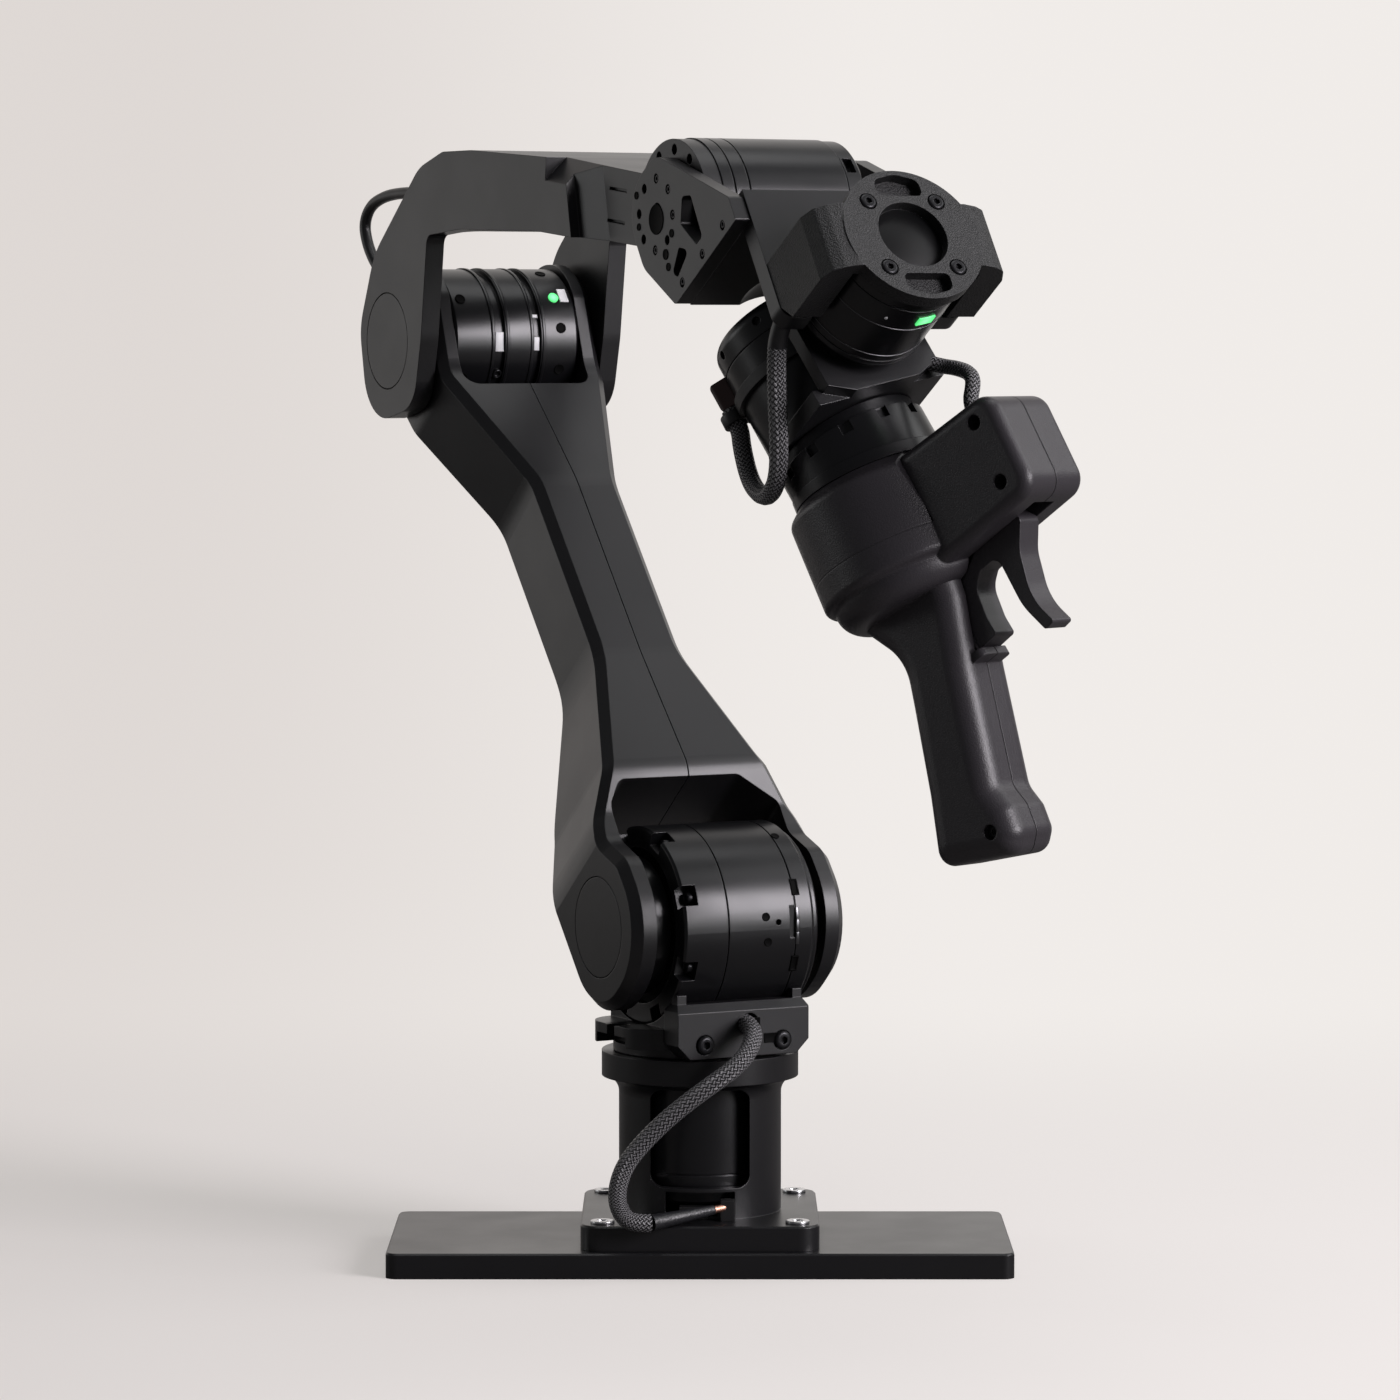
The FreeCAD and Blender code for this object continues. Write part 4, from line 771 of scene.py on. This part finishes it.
@dataclass
class Cord:
    """One cable between two bodies: its route, its sleeve and where it bends."""

    name: str
    node: str
    sleeve: str
    route: Sequence[Point]
    radius: float
    bodies: tuple[Body, Body]
    far_end: str
    lay: str = "hanging"
    end_nodes: tuple[str, ...] = ()
    strands: float = 12.0
    plain_share: float = 0.0
    bend_from: float = 0.1
    bend_to: float = 0.9
    steps: int = 14
    round_steps: int = 5
    path: list[Point] = field(default_factory=list)

    def spline(self) -> Piece:
        """Draw the route as a smooth line.

        Returns:
            The curve, with no thickness yet.
        """
        curve = bpy.data.curves.new(self.name, "CURVE")
        curve.dimensions = "3D"
        curve.resolution_u = self.steps
        line = curve.splines.new("NURBS")
        line.points.add(len(self.route) - 1)
        for control, place in zip(line.points, self.route):
            control.co = (*place, 1.0)
        line.order_u = 3
        line.use_endpoint_u = True
        piece = bpy.data.objects.new(self.name, curve)
        bpy.context.collection.objects.link(piece)
        return piece

    def build(self) -> Piece:
        """Make the cable as a tube along its route.

        Returns:
            The cable.
        """
        piece = self.spline()
        bpy.context.view_layer.update()
        line = bpy.data.meshes.new_from_object(piece)
        self.path = [tuple(v.co) for v in line.vertices]
        bpy.data.meshes.remove(line)
        piece.data.bevel_depth = self.radius
        piece.data.bevel_resolution = self.round_steps
        piece.data.use_fill_caps = True
        Bench.hold(piece)
        bpy.ops.object.convert(target="MESH")
        bpy.ops.object.shade_smooth()
        piece = bpy.context.view_layer.objects.active
        steps = zip(self.path, self.path[1:])
        length = sum((Vector(b) - Vector(a)).length for a, b in steps)
        sleeve = BraidFinish(self.sleeve, length, self.radius, self.strands, self.plain_share)
        dress(piece, sleeve.material())
        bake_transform(piece)
        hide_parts(self.node)
        log.info("%s is %.0f mm long", self.name, MM_PER_M * length)
        return piece


def from_mm(points: Sequence[Point], place: Matrix = Matrix.Identity(4)) -> list[Point]:
    """Route points in metres, in the plate's frame, from millimetres in a link's frame."""
    return [tuple(place @ (Vector(p) / MM_PER_M)) for p in points]


BASE_ROUTE: list[Point] = [
    (17.7, -26.8, 107.9), (23.2, -44.0, 107.3), (22.3, -54.0, 100.4), (15.8, -60.0, 92.2),
    (3.5, -62.0, 83.9), (-12.3, -61.0, 71.7), (-25.1, -59.0, 58.9), (-32.9, -58.0, 48.4),
    (-35.9, -58.0, 37.2), (-34.1, -59.0, 29.2), (-29.0, -59.8, 24.6), (-21.3, -57.7, 24.6),
]
ELBOW_DEPTH = 36.75
ELBOW_ROUTE: Spots = (
    (-20.3, 26.0), (-28.0, 36.0), (-38.0, 46.5), (-43.5, 56.5), (-44.5, 65.5), (-36.0, 72.0),
    (-21.0, 73.0), (-4.0, 71.0), (20.0, 66.0), (48.0, 58.0), (75.4, 54.0),
)
WRIST_ROUTE: list[Point] = [
    (34.0, -141.6, 409.9), (31.8, -138.0, 403.6), (31.2, -134.5, 392.9), (31.6, -130.0, 377.4),
    (32.5, -125.0, 361.7), (32.4, -119.0, 345.5), (29.0, -111.4, 337.2), (24.6, -101.0, 337.6),
    (20.6, -92.0, 343.8), (17.5, -86.0, 356.7),
]
WRIST_PLUG_TURN = -45.0
WRIST_PLUG_REACH = 37.3
WRIST_PLUG_END = -4.0
WRIST_PLUG_RUNS = (9.0, 0.1)
HANDLE_ROUTE: list[Point] = [
    (94.0, -108.9, 392.6), (100.3, -110.6, 391.0), (105.6, -116.4, 390.4), (110.6, -123.6, 388.6),
    (112.3, -130.0, 385.1), (110.1, -134.8, 375.7), (113.2, -137.3, 370.2),
]


def cords() -> list[Cord]:
    """The four cables of the arm.

    Returns:
        The cables, not yet built.
    """
    side = math.radians(WRIST_PLUG_TURN)
    plug = (WRIST_PLUG_REACH * math.sin(side), WRIST_PLUG_REACH * math.cos(side))
    into_plug = [(WRIST_PLUG_END + run, *plug) for run in WRIST_PLUG_RUNS]
    elbow = [(x, y, ELBOW_DEPTH) for x, y in ELBOW_ROUTE]
    return [
        Cord(
            "base_cable", "base_cord", "base_braid", from_mm(BASE_ROUTE), 0.004,
            (Body.SHOULDER, Body.BASE), "plug", end_nodes=("base_plug", "base_plug_tip"),
        ),
        Cord(
            "elbow_cable", "elbow_cord", "elbow_sleeve", from_mm(elbow, LINKS.fore), 0.0027,
            (Body.UPPER_ARM, Body.FOREARM), "object", lay="loose", plain_share=1.0,
        ),
        Cord(
            "wrist_cable", "wrist_cord", "wrist_braid",
            from_mm(WRIST_ROUTE) + from_mm(into_plug, LINKS.roll), 0.004,
            (Body.WRIST, Body.ROLL_UNIT), "plug", end_nodes=("wrist_plug",),
            plain_share=0.09, bend_from=0.02, bend_to=0.35,
        ),
        Cord(
            "handle_cable", "handle_cord", "handle_braid", from_mm(HANDLE_ROUTE), 0.0032,
            (Body.ROLL_UNIT, Body.HANDLE), "object", lay="loose",
            strands=10.0, bend_from=0.5, bend_to=1.0,
        ),
    ]


def on_round(axis: Matrix, radius: float, degrees: float, along: float) -> Matrix:
    """The frame of a spot on a motor's round side: Z outwards, X back along the axis."""
    return axis @ shift(z=along) @ turn("Z", degrees) @ shift(radius) @ turn("Y", 90)


@dataclass
class Unit:
    """One sub-assembly: the body that it rides on, its CAD nodes and its own pieces."""

    body: Body
    smooth_angle: float = math.radians(35)

    def finishes(self) -> dict[str, Look]:
        """Finish of each CAD node of the unit."""
        return {}

    def build(self) -> None:
        """Model the unit's own pieces; a plain unit has none."""

    def dress(self) -> None:
        """Give the unit's CAD nodes their finishes."""
        for name, finish in self.finishes().items():
            dress(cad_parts[name], finish.material())
            log.info("%s has the finish %s", name, finish.name)

    def fit(
        self, piece: Piece, places: Sequence[Matrix], name: str, slot: Slot,
        finish: Finish,
    ) -> Piece:
        """Copy a piece to its places, name and dress it, and let it ride on the unit's body.

        Args:
            piece: The piece, modelled at the origin.
            places: Frame of each copy.
            name: Its name.
            slot: The record's slot that it belongs to; not used.
            finish: Its finish.

        Returns:
            One piece with all copies, with its place in its mesh.
        """
        piece = Bench.spread(piece, places)
        piece.name = name
        Bench.hold(piece)
        bpy.ops.object.shade_smooth_by_angle(angle=self.smooth_angle)
        dress(piece, finish.material())
        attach(piece, self.body.value)
        log.info("%s is fitted", name)
        return piece


@dataclass
class BaseUnit(Unit):
    """Plate, pedestal and what stands in the pedestal."""

    body: Body = Body.BASE
    foot_top: float = 0.022
    spots: tuple[float, ...] = (-0.042, 0.042)
    head: Disc = Disc(
        radius=0.0052, depth=0.0014, rim=0.0029, sink=0.0009, rounding=0.0003, sides=40
    )

    def finishes(self) -> dict[str, Look]:
        """Finish of each CAD node of the base."""
        return {
            "base_plate": PLATE,
            "pedestal": PLATE,
            "base_motor": TurnedFinish("base_motor_black", axis=LINKS.base),
            "base_socket": SOFT_PLASTIC,
            "base_plug": SHRINK,
            "base_plug_tip": COPPER,
        }

    def build(self) -> None:
        """Model the flat screws in the corners of the foot."""
        places = [shift(x, y, self.foot_top - SEAT) for x in self.spots for y in self.spots]
        heads = self.fit(
            self.head.build(), places, "foot_heads", Slot.BRIGHT_SCREW, BRIGHT_STEEL
        )
        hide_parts("foot_screws")


@dataclass
class ShoulderUnit(Unit):
    """Turntable, bracket, cable block and the large shoulder motor."""

    body: Body = Body.SHOULDER
    radius: float = 0.043
    notches: int = 8
    notch_turn: float = 22.5
    notch_floor: float = 0.0231
    bolt_reach: float = 0.0385
    bolt: Disc = Disc(radius=0.0026, depth=0.0032, rim=0.0011, sink=0.0016, rounding=0.0002)
    port: Block = Block(length=0.0036, width=0.0074, depth=0.0005, rim=0.0007, sink=0.0003)
    port_spots: Spots = ((24.0, -0.0251), (-21.1, -0.0246))
    hole: Disc = Disc(radius=0.0019, rim=0.0004)
    hole_spots: Spots = ((7.5, -0.0094), (-7.1, -0.0104), (62.0, -0.0262))
    strip: Block = Block(length=0.0016, width=0.0054)
    strip_spots: Spots = ((-5.8, -0.0249), (1.5, -0.0249), (8.8, -0.0249))
    block_front: float = 0.04
    slot_spots: Spots = ((0.01285, 0.10075), (0.00375, 0.1080))
    slots: tuple[Block, ...] = (
        Block(length=0.0043, width=0.0059, rim=0.0004),
        Block(length=0.0040, width=0.0083, rim=0.0004),
    )

    def finishes(self) -> dict[str, Look]:
        """Finish of each CAD node of the shoulder."""
        motor = TurnedFinish("shoulder_motor_black", axis=LINKS.shoulder)
        return {
            "turntable": PLATE,
            "shoulder_bracket": PLATE,
            "cable_block": ANODISED,
            "block_screws": DARK_STEEL,
            "shoulder_motor": motor,
            "shoulder_motor_ring": motor,
            # The motor's core takes the near-black finish of painted shade.
            "shoulder_motor_core": SHADOW_BLACK,
            "shoulder_motor_cover": motor,
        }

    def build(self) -> None:
        """Model the ring's bolts, the marks on the motor's side and the cable block's slots;
        ports, holes and slots are black inlays of painted shade.
        """
        step = 360 / self.notches
        turns = [turn("Z", self.notch_turn + step * count) for count in range(self.notches)]
        out = shift(self.bolt_reach, 0, self.notch_floor)
        places = [LINKS.shoulder @ about @ out for about in turns]
        self.fit(self.bolt.build(), places, "ring_bolts", Slot.DARK_SCREW, DARK_STEEL)
        # Ports and side holes are near-black inlays: painted shade of openings; the strip is grey
        # metal.
        marks = (
            (self.port, self.port_spots, "motor_port_shades", SHADOW_BLACK),
            (self.hole, self.hole_spots, "motor_side_hole_shades", SHADOW_BLACK),
            (self.strip, self.strip_spots, "motor_strip", RIM_GREY),
        )
        for mark, spots, name, finish in marks:
            places = [on_round(LINKS.shoulder, self.radius - SEAT, *spot) for spot in spots]
            self.fit(mark.build(), places, name, Slot.MOTOR, finish)
        # The cable block's slots are near-black inlays: painted shade of recesses.
        front = LINKS.turntable @ shift(self.block_front - SEAT)
        for count, (slot, (y, z)) in enumerate(zip(self.slots, self.slot_spots)):
            place = front @ shift(0, y, z) @ turn("Y", 90)
            name = f"block_slot_shade_{count}"
            self.fit(slot.build(), [place], name, Slot.ANODISED, SHADOW_BLACK)


@dataclass
class UpperArmUnit(Unit):
    """The two shells of the upper arm and the elbow motor between their plates."""

    body: Body = Body.UPPER_ARM
    radius: float = 0.0335
    groove: float = 0.0315
    insert_spots: Spots = ((-130.6, 0.0090), (-132.3, -0.0100), (-108.9, -0.0100))
    inserts: tuple[Block, ...] = (
        Block(length=0.0044, width=0.0090, depth=0.0009, rounding=0.0002),
        Block(length=0.0030, width=0.0062, depth=0.0009, rounding=0.0002),
        Block(length=0.0030, width=0.0016, depth=0.0009, rounding=0.0002),
    )
    hole: Disc = Disc(radius=0.0025, rim=0.0004)
    hole_spots: Spots = (
        (-94.6, 0.0270), (-119.6, -0.0222), (-152.8, -0.0222), (-61.5, -0.0217), (-160.0, 0.0270),
    )
    screw: Disc = Disc(radius=0.0022, depth=0.0016, rim=0.0009, sink=0.0009, rounding=0.0002)
    screw_spot: Pair = (-157.8, 0.0088)
    tab: Block = Block(
        length=0.0044, width=0.0074, depth=0.0006, rim=0.0006, sink=0.0002, rounding=0.0002
    )
    tab_spot: Pair = (-91.4, -0.0262)
    lips: tuple[float, ...] = (0.0128, 0.0052, -0.0072, -0.0134)
    lip_half: float = 0.0008
    lip_wall: float = 0.0006

    def finishes(self) -> dict[str, Look]:
        """Finish of each CAD node of the upper arm."""
        return {
            "upper_arm_left": ANODISED,
            "upper_arm_right": ANODISED,
            "shoulder_output": TurnedFinish("shoulder_output_black", axis=LINKS.shoulder),
            "shoulder_cap_left": ANODISED,
            "shoulder_cap_right": ANODISED,
            "elbow_motor": ELBOW_MOTOR,
            "elbow_lamp": LampFinish.on("elbow_lamp"),
        }

    def build(self) -> None:
        """Model the inserts, the painted shade of the holes, the screw, tab and lips on the elbow
        motor.
        """
        floor, side = self.groove - DEEP_SEAT, self.radius - SEAT
        for count, (insert, spot) in enumerate(zip(self.inserts, self.insert_spots)):
            place = on_round(LINKS.elbow, floor, *spot)
            self.fit(insert.build(), [place], f"elbow_insert_{count}", Slot.MOTOR, PALE_INSERT)
        # The side holes are near-black discs: painted shade.
        places = [on_round(LINKS.elbow, side, *spot) for spot in self.hole_spots]
        self.fit(self.hole.build(), places, "elbow_side_hole_shades", Slot.MOTOR, SHADOW_BLACK)
        place = on_round(LINKS.elbow, floor, *self.screw_spot)
        self.fit(self.screw.build(), [place], "elbow_groove_screw", Slot.DARK_SCREW, DARK_STEEL)
        place = on_round(LINKS.elbow, side, *self.tab_spot)
        self.fit(self.tab.build(), [place], "elbow_lamp_tab", Slot.MOTOR, PALE_INSERT)
        for count, along in enumerate(self.lips):
            lip = Bench.band(self.radius - DEEP_SEAT, along, self.lip_half, self.lip_wall)
            self.fit(lip, [LINKS.elbow], f"elbow_lip_{count}", Slot.MOTOR, ELBOW_MOTOR)


@dataclass
class ForearmUnit(Unit):
    """Yoke and beam with the wrist pitch motor."""

    body: Body = Body.FOREARM

    def finishes(self) -> dict[str, Look]:
        """Finish of each CAD node of the forearm."""
        hub = TurnedFinish("elbow_hub_black", axis=LINKS.fore)
        motor = TurnedFinish("pitch_motor_black", axis=LINKS.fore)
        return {
            "forearm": ANODISED,
            "elbow_hub_left": hub,
            "elbow_hub_right": hub,
            "elbow_cap_left": ANODISED,
            "elbow_cap_right": ANODISED,
            "wrist_pitch_motor": motor,
            "wrist_pitch_cover": motor,
        }


@dataclass
class WristUnit(Unit):
    """Cheeks, bracket and the yaw motor under its blasted cap."""

    body: Body = Body.WRIST
    radius: float = 0.029
    rims: tuple[float, ...] = (0.0753, 0.0562, 0.0934)
    rim_half: float = 0.00025
    rim_wall: float = 0.0004
    dot: Disc = Disc(radius=0.0007, depth=0.0005, sides=12)
    dot_spot: Pair = (-22.6, 0.0808)
    well: Disc = Disc(radius=0.0153, depth=0.0003, sides=64)
    well_floor: float = 0.0965
    cheek_face: float = 0.05
    head: Disc = Disc(radius=0.0016, depth=0.004, rim=0.0008, sink=0.0015, rounding=0.0002)
    head_depth: float = 0.0042
    hub_reach: float = 0.015
    hub_heads: tuple[float, ...] = (55.0, 100.0, 145.0, 325.0)
    edge_heads: Spots = ((0.0365, 0.004), (0.0365, 0.025), (0.0365, 0.046))
    hole_rim: float = 0.0003
    hole_sides: int = 40
    holes: tuple[tuple[float, float, float], ...] = (
        (0.0190, -0.0018, 0.0023), (0.0247, -0.0027, 0.0018), (0.0146, 0.0074, 0.0018),
        (-0.0165, -0.0100, 0.0017), (-0.0042, -0.0155, 0.0016), (0.0021, -0.0007, 0.0064),
    )

    def finishes(self) -> dict[str, Look]:
        """Finish of each CAD node of the wrist."""
        return {
            "cheek_left": ANODISED,
            "cheek_right": ANODISED,
            "pitch_output": TurnedFinish("pitch_output_black", axis=LINKS.fore),
            "wrist_bracket": ANODISED,
            "yaw_cap": BLASTED,
            "yaw_cap_screws": DARK_STEEL,
            "yaw_motor": TurnedFinish("yaw_motor_black", axis=LINKS.yaw_axis),
            "yaw_lamp": LampFinish.on("yaw_lamp"),
        }

    def build(self) -> None:
        """Model the yaw motor's marks and what is drilled into the cheeks."""
        self.mark_motor()
        self.screw_cheeks()

    def mark_motor(self) -> None:
        """Model the grey rims and the pale dot on the yaw motor, and a black disc of painted shade
        in its cap's well.
        """
        seat = self.radius - DEEP_SEAT
        for count, along in enumerate(self.rims):
            rim = Bench.band(seat, along, self.rim_half, self.rim_wall)
            self.fit(rim, [LINKS.yaw_axis], f"yaw_rim_{count}", Slot.MOTOR, RIM_GREY)
        place = on_round(LINKS.yaw_axis, seat, *self.dot_spot)
        self.fit(self.dot.build(), [place], "yaw_dot", Slot.MOTOR, PALE_INSERT)
        # The well's floor gets a near-black disc: painted shade in the recess.
        place = LINKS.yaw_axis @ shift(z=self.well_floor - SEAT)
        self.fit(self.well.build(), [place], "cap_well_shade", Slot.ANODISED, PAINTED_WELL_SHADE)

    def screw_cheeks(self) -> None:
        """Model the sunk screws of both cheeks and black discs of painted shade in the near
        cheek's further holes.
        """
        near = LINKS.wrist @ shift(z=self.cheek_face - self.head_depth)
        far = LINKS.wrist @ shift(z=self.head_depth - self.cheek_face)
        places = [near @ turn("Z", angle) @ shift(self.hub_reach) for angle in self.hub_heads]
        places += [near @ shift(x, y) for x, y in self.edge_heads]
        places += [far @ shift(x, y) @ turn("X", 180) for x, y in self.edge_heads]
        heads = self.fit(self.head.build(), places, "cheek_heads", Slot.DARK_SCREW, DARK_STEEL)
        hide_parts("cheek_screws")
        # The further holes are near-black discs: painted shade.
        face = LINKS.wrist @ shift(z=self.cheek_face - SEAT)
        for count, (x, y, radius) in enumerate(self.holes):
            hole = Disc(radius=radius, rim=self.hole_rim, sides=self.hole_sides).build()
            name = f"cheek_hole_shade_{count}"
            self.fit(hole, [face @ shift(x, y)], name, Slot.ANODISED, SHADOW_BLACK)


@dataclass
class RollUnit(Unit):
    """Bracket and roll motor with the clip that holds the wrist cable."""

    body: Body = Body.ROLL_UNIT
    hook_place: Point = (14.8, -81.8, 368.6)
    hook_way: Point = (-0.42, 0.37, 0.83)
    hook_radius: float = 0.0041
    hook_half: float = 0.0027
    hook_wall: float = 0.0017

    def finishes(self) -> dict[str, Look]:
        """Finish of each CAD node of the roll unit."""
        return {
            "yaw_output": TurnedFinish("yaw_output_black", axis=LINKS.yaw_axis),
            "roll_bracket": ANODISED,
            "roll_motor": TurnedFinish("roll_motor_black", axis=LINKS.roll_axis),
            "cable_clip": SOFT_PLASTIC,
            "wrist_plug": RED_PLUG,
        }

    def build(self) -> None:
        """Model the clip's hook round the wrist cable."""
        hook = Bench.band(self.hook_radius, 0.0, self.hook_half, self.hook_wall)
        way = Vector(self.hook_way).to_track_quat("Z", "Y").to_matrix().to_4x4()
        place = Matrix.Translation(Vector(self.hook_place) / MM_PER_M) @ way
        self.fit(hook, [place], "cable_hook", Slot.PLASTIC, SOFT_PLASTIC)


@dataclass
class HandleUnit(Unit):
    """Adapter, collar and the two moulded halves of the grip."""

    body: Body = Body.HANDLE

    def finishes(self) -> dict[str, Look]:
        """Finish of each CAD node of the handle."""
        axis = LINKS.handle @ turn("Y", 90)
        return {
            "roll_output": TurnedFinish("roll_output_black", axis=axis),
            "handle_adapter": TurnedFinish("adapter_black", axis=axis),
            "handle_collar": PLASTIC,
            "handle_left": PLASTIC,
            "handle_right": PLASTIC,
            "handle_screws": DARK_STEEL,
            "trigger_pin": BRIGHT_STEEL,
        }


@dataclass
class TriggerUnit(Unit):
    """The double lever under the head."""

    body: Body = Body.TRIGGER

    def finishes(self) -> dict[str, Look]:
        """Finish of the trigger."""
        return {"trigger": PLASTIC}


UNITS: tuple[type[Unit], ...] = (
    BaseUnit, ShoulderUnit, UpperArmUnit, ForearmUnit, WristUnit, RollUnit, HandleUnit,
    TriggerUnit,
)


@dataclass(frozen=True)
class SoftBox:
    """One studio lamp with a plain square or oblong front."""

    name: str
    place: Point
    aim: Point
    width: float
    height: float
    power: float
    tint: Colour = (1.0, 1.0, 1.0)

    def build(self) -> None:
        """Hang the lamp and turn it to its aim."""
        lamp = bpy.data.lights.new(self.name, "AREA")
        lamp.shape = "RECTANGLE"
        lamp.size = self.width
        lamp.size_y = self.height
        lamp.energy = self.power
        lamp.color = self.tint
        piece = bpy.data.objects.new(self.name, lamp)
        bpy.context.collection.objects.link(piece)
        piece.location = self.place
        look = Vector(self.aim) - Vector(self.place)
        piece.rotation_euler = look.to_track_quat("-Z", "Y").to_euler()


@dataclass(frozen=True)
class PaperFinish:
    """Pale studio paper: it takes light and shadow near the arm and glows pale far off, darker
    towards the left.

    The pairs say where along X or Y a ramp starts and ends.
    """

    name: str = "studio_paper"
    seen_tint: Colour = (0.84, 0.805, 0.78)
    lit_tint: Colour = (0.17, 0.163, 0.158)
    roughness: float = 0.95
    left_tint: Colour = (0.735, 0.69, 0.665)
    right_tint: Colour = (0.875, 0.84, 0.815)
    tint_ends: Pair = (-0.5, 0.22)
    pale_ends: Pair = (0.1, 0.9)
    pale_near: float = 0.46
    mirror_ends: Pair = (0.9, 1.6)
    right_ends: Pair = (0.8, 2.0)
    right_share: float = 0.3
    left_ends: Pair = (-0.9, -2.2)
    left_share: float = 0.55

    def material(self) -> Material:
        """The paper as a material.

        Returns:
            The material.
        """
        made, sheet, shader = start_material(self.name)
        out = shader.outputs[0].links[0].to_node
        place = sheet.lay("ShaderNodeSeparateXYZ", {0: sheet.coordinates("Object")}).outputs
        path = sheet.lay("ShaderNodeLightPath").outputs
        seen = path["Is Camera Ray"]
        mirrored = sheet.sum("MAXIMUM", path["Is Glossy Ray"], path["Is Transmission Ray"])
        tint = sheet.blend(seen, self.lit_tint, self.seen_tint)
        looks = {"Base Color": tint, "Roughness": self.roughness, "Specular IOR Level": 0.0}
        sheet.feed(shader, looks)
        # The far glow is blended darker towards the left: painted shade on the paper; its strength
        # also falls off far out to both sides.
        across = sheet.ramp(place["X"], self.tint_ends)
        pale = sheet.blend(across, self.left_tint, self.right_tint)
        right = sheet.ramp(place["X"], self.right_ends, 1.0, self.right_share)
        left = sheet.ramp(place["X"], self.left_ends, 1.0, self.left_share)
        power = sheet.sum("MULTIPLY", right, left)
        glow = sheet.lay("ShaderNodeEmission", {"Color": pale, "Strength": power})
        behind = sheet.ramp(place["Y"], self.pale_ends, self.pale_near, 1.0)
        first = sheet.sum("MULTIPLY", seen, behind)
        second = sheet.sum("MULTIPLY", mirrored, sheet.ramp(place["Y"], self.mirror_ends))
        share = sheet.sum("MAXIMUM", first, second)
        inputs = {0: share, 1: shader.outputs[0], 2: glow.outputs[0]}
        sheet.feed(out, {"Surface": sheet.lay("ShaderNodeMixShader", inputs).outputs[0]})
        return made


@dataclass(frozen=True)
class Studio:
    """The pale sweep, the lamps, the dim room and the camera."""

    room: Colour = (0.95, 0.96, 1.0)
    room_light: float = 0.09
    camera_place: Point = (0.0, -2.3468, 0.4101)
    camera_drop: float = math.atan(380 / 5400)
    lens: float = 138.857
    sensor: float = 36.0
    sight: float = 50.0
    sweep_front: float = -0.62
    sweep_back: float = 1.6
    sweep_radius: float = 0.8
    sweep_steps: int = 24
    sweep_top: float = 3.4
    sweep_half: float = 3.6
    near_edge: float = 0.01
    lamps: tuple[SoftBox, ...] = (
        SoftBox(
            "right_box", (2.3, -1.5, 1.25), (0.0, 0.0, 0.25), 1.2, 1.2, 85.0, (1.0, 0.95, 1.0)
        ),
        SoftBox("low_box", (2.3, -1.5, 0.36), (0.0, 0.0, 0.4), 0.9, 0.5, 6.0),
        SoftBox("edge_box", (-2.3, 0.15, 0.62), (0.0, 0.0, 0.43), 0.9, 0.8, 4.5),
        SoftBox("side_box", (1.75, 0.25, 1.6), (0.0, 0.0, 0.3), 1.5, 1.3, 13.0),
        SoftBox("left_box", (-2.0, 1.1, 0.5), (0.0, 0.0, 0.3), 1.3, 0.9, 1.6),
        SoftBox("top_box", (0.1, 0.2, 2.3), (0.0, 0.0, 0.2), 1.6, 1.6, 16.0),
    )

    def build(self) -> None:
        """Set the studio up."""
        bpy.context.scene.view_settings.view_transform = "Standard"
        self.sweep()
        self.light_room()
        for lamp in self.lamps:
            lamp.build()
        self.stand_camera()

    def sweep(self) -> None:
        """Hang one sheet of paper that runs from the floor up the back in a curve."""
        bpy.ops.mesh.primitive_plane_add(size=1.0)
        paper = bpy.context.active_object
        paper.name = "paper_sweep"
        paper.scale = (2 * self.sweep_half, self.sweep_back - self.sweep_front, 1.0)
        paper.location = (0.0, (self.sweep_back + self.sweep_front) / 2, 0.0)
        Bench.settle()
        bpy.ops.object.mode_set(mode="EDIT")
        bpy.ops.mesh.select_all(action="DESELECT")
        bpy.ops.object.mode_set(mode="OBJECT")
        points, limit = paper.data.vertices, self.sweep_back - self.near_edge
        for edge in paper.data.edges:
            edge.select = all(points[i].co.y > limit for i in edge.vertices)
        bpy.ops.object.mode_set(mode="EDIT")
        bpy.ops.mesh.select_mode(type="EDGE")
        bpy.ops.mesh.spin(
            steps=self.sweep_steps,
            angle=math.radians(-90),
            center=(0.0, self.sweep_back, self.sweep_radius),
            axis=(1.0, 0.0, 0.0),
        )
        bpy.ops.mesh.extrude_region_move(
            TRANSFORM_OT_translate={"value": (0.0, 0.0, self.sweep_top - self.sweep_radius)}
        )
        bpy.ops.object.mode_set(mode="OBJECT")
        bpy.ops.object.shade_smooth()
        dress(paper, PaperFinish().material())

    def light_room(self) -> None:
        """Fill the room with dim even light."""
        world = bpy.data.worlds.new("studio_room")
        world.use_nodes = True
        back = world.node_tree.nodes["Background"]
        back.inputs["Color"].default_value = (*self.room, 1.0)
        back.inputs["Strength"].default_value = self.room_light
        bpy.context.scene.world = world

    def stand_camera(self) -> None:
        """Stand the camera where the photograph was taken from."""
        lens = bpy.data.cameras.new("camera")
        lens.lens = self.lens
        lens.sensor_width = self.sensor
        lens.clip_end = self.sight
        camera = bpy.data.objects.new("camera", lens)
        bpy.context.collection.objects.link(camera)
        camera.location = self.camera_place
        camera.rotation_euler = (math.pi / 2 - self.camera_drop, 0.0, 0.0)
        bpy.context.scene.camera = camera


def main() -> None:
    """Dress the arm, lay its cables and set the studio up."""
    logging.basicConfig(level=logging.INFO, format="%(message)s")
    for kind in UNITS:
        unit = kind()
        unit.dress()
        unit.build()
    for cord in cords():
        cord.build()
    Studio().build()


if __name__ == "__main__":
    main()
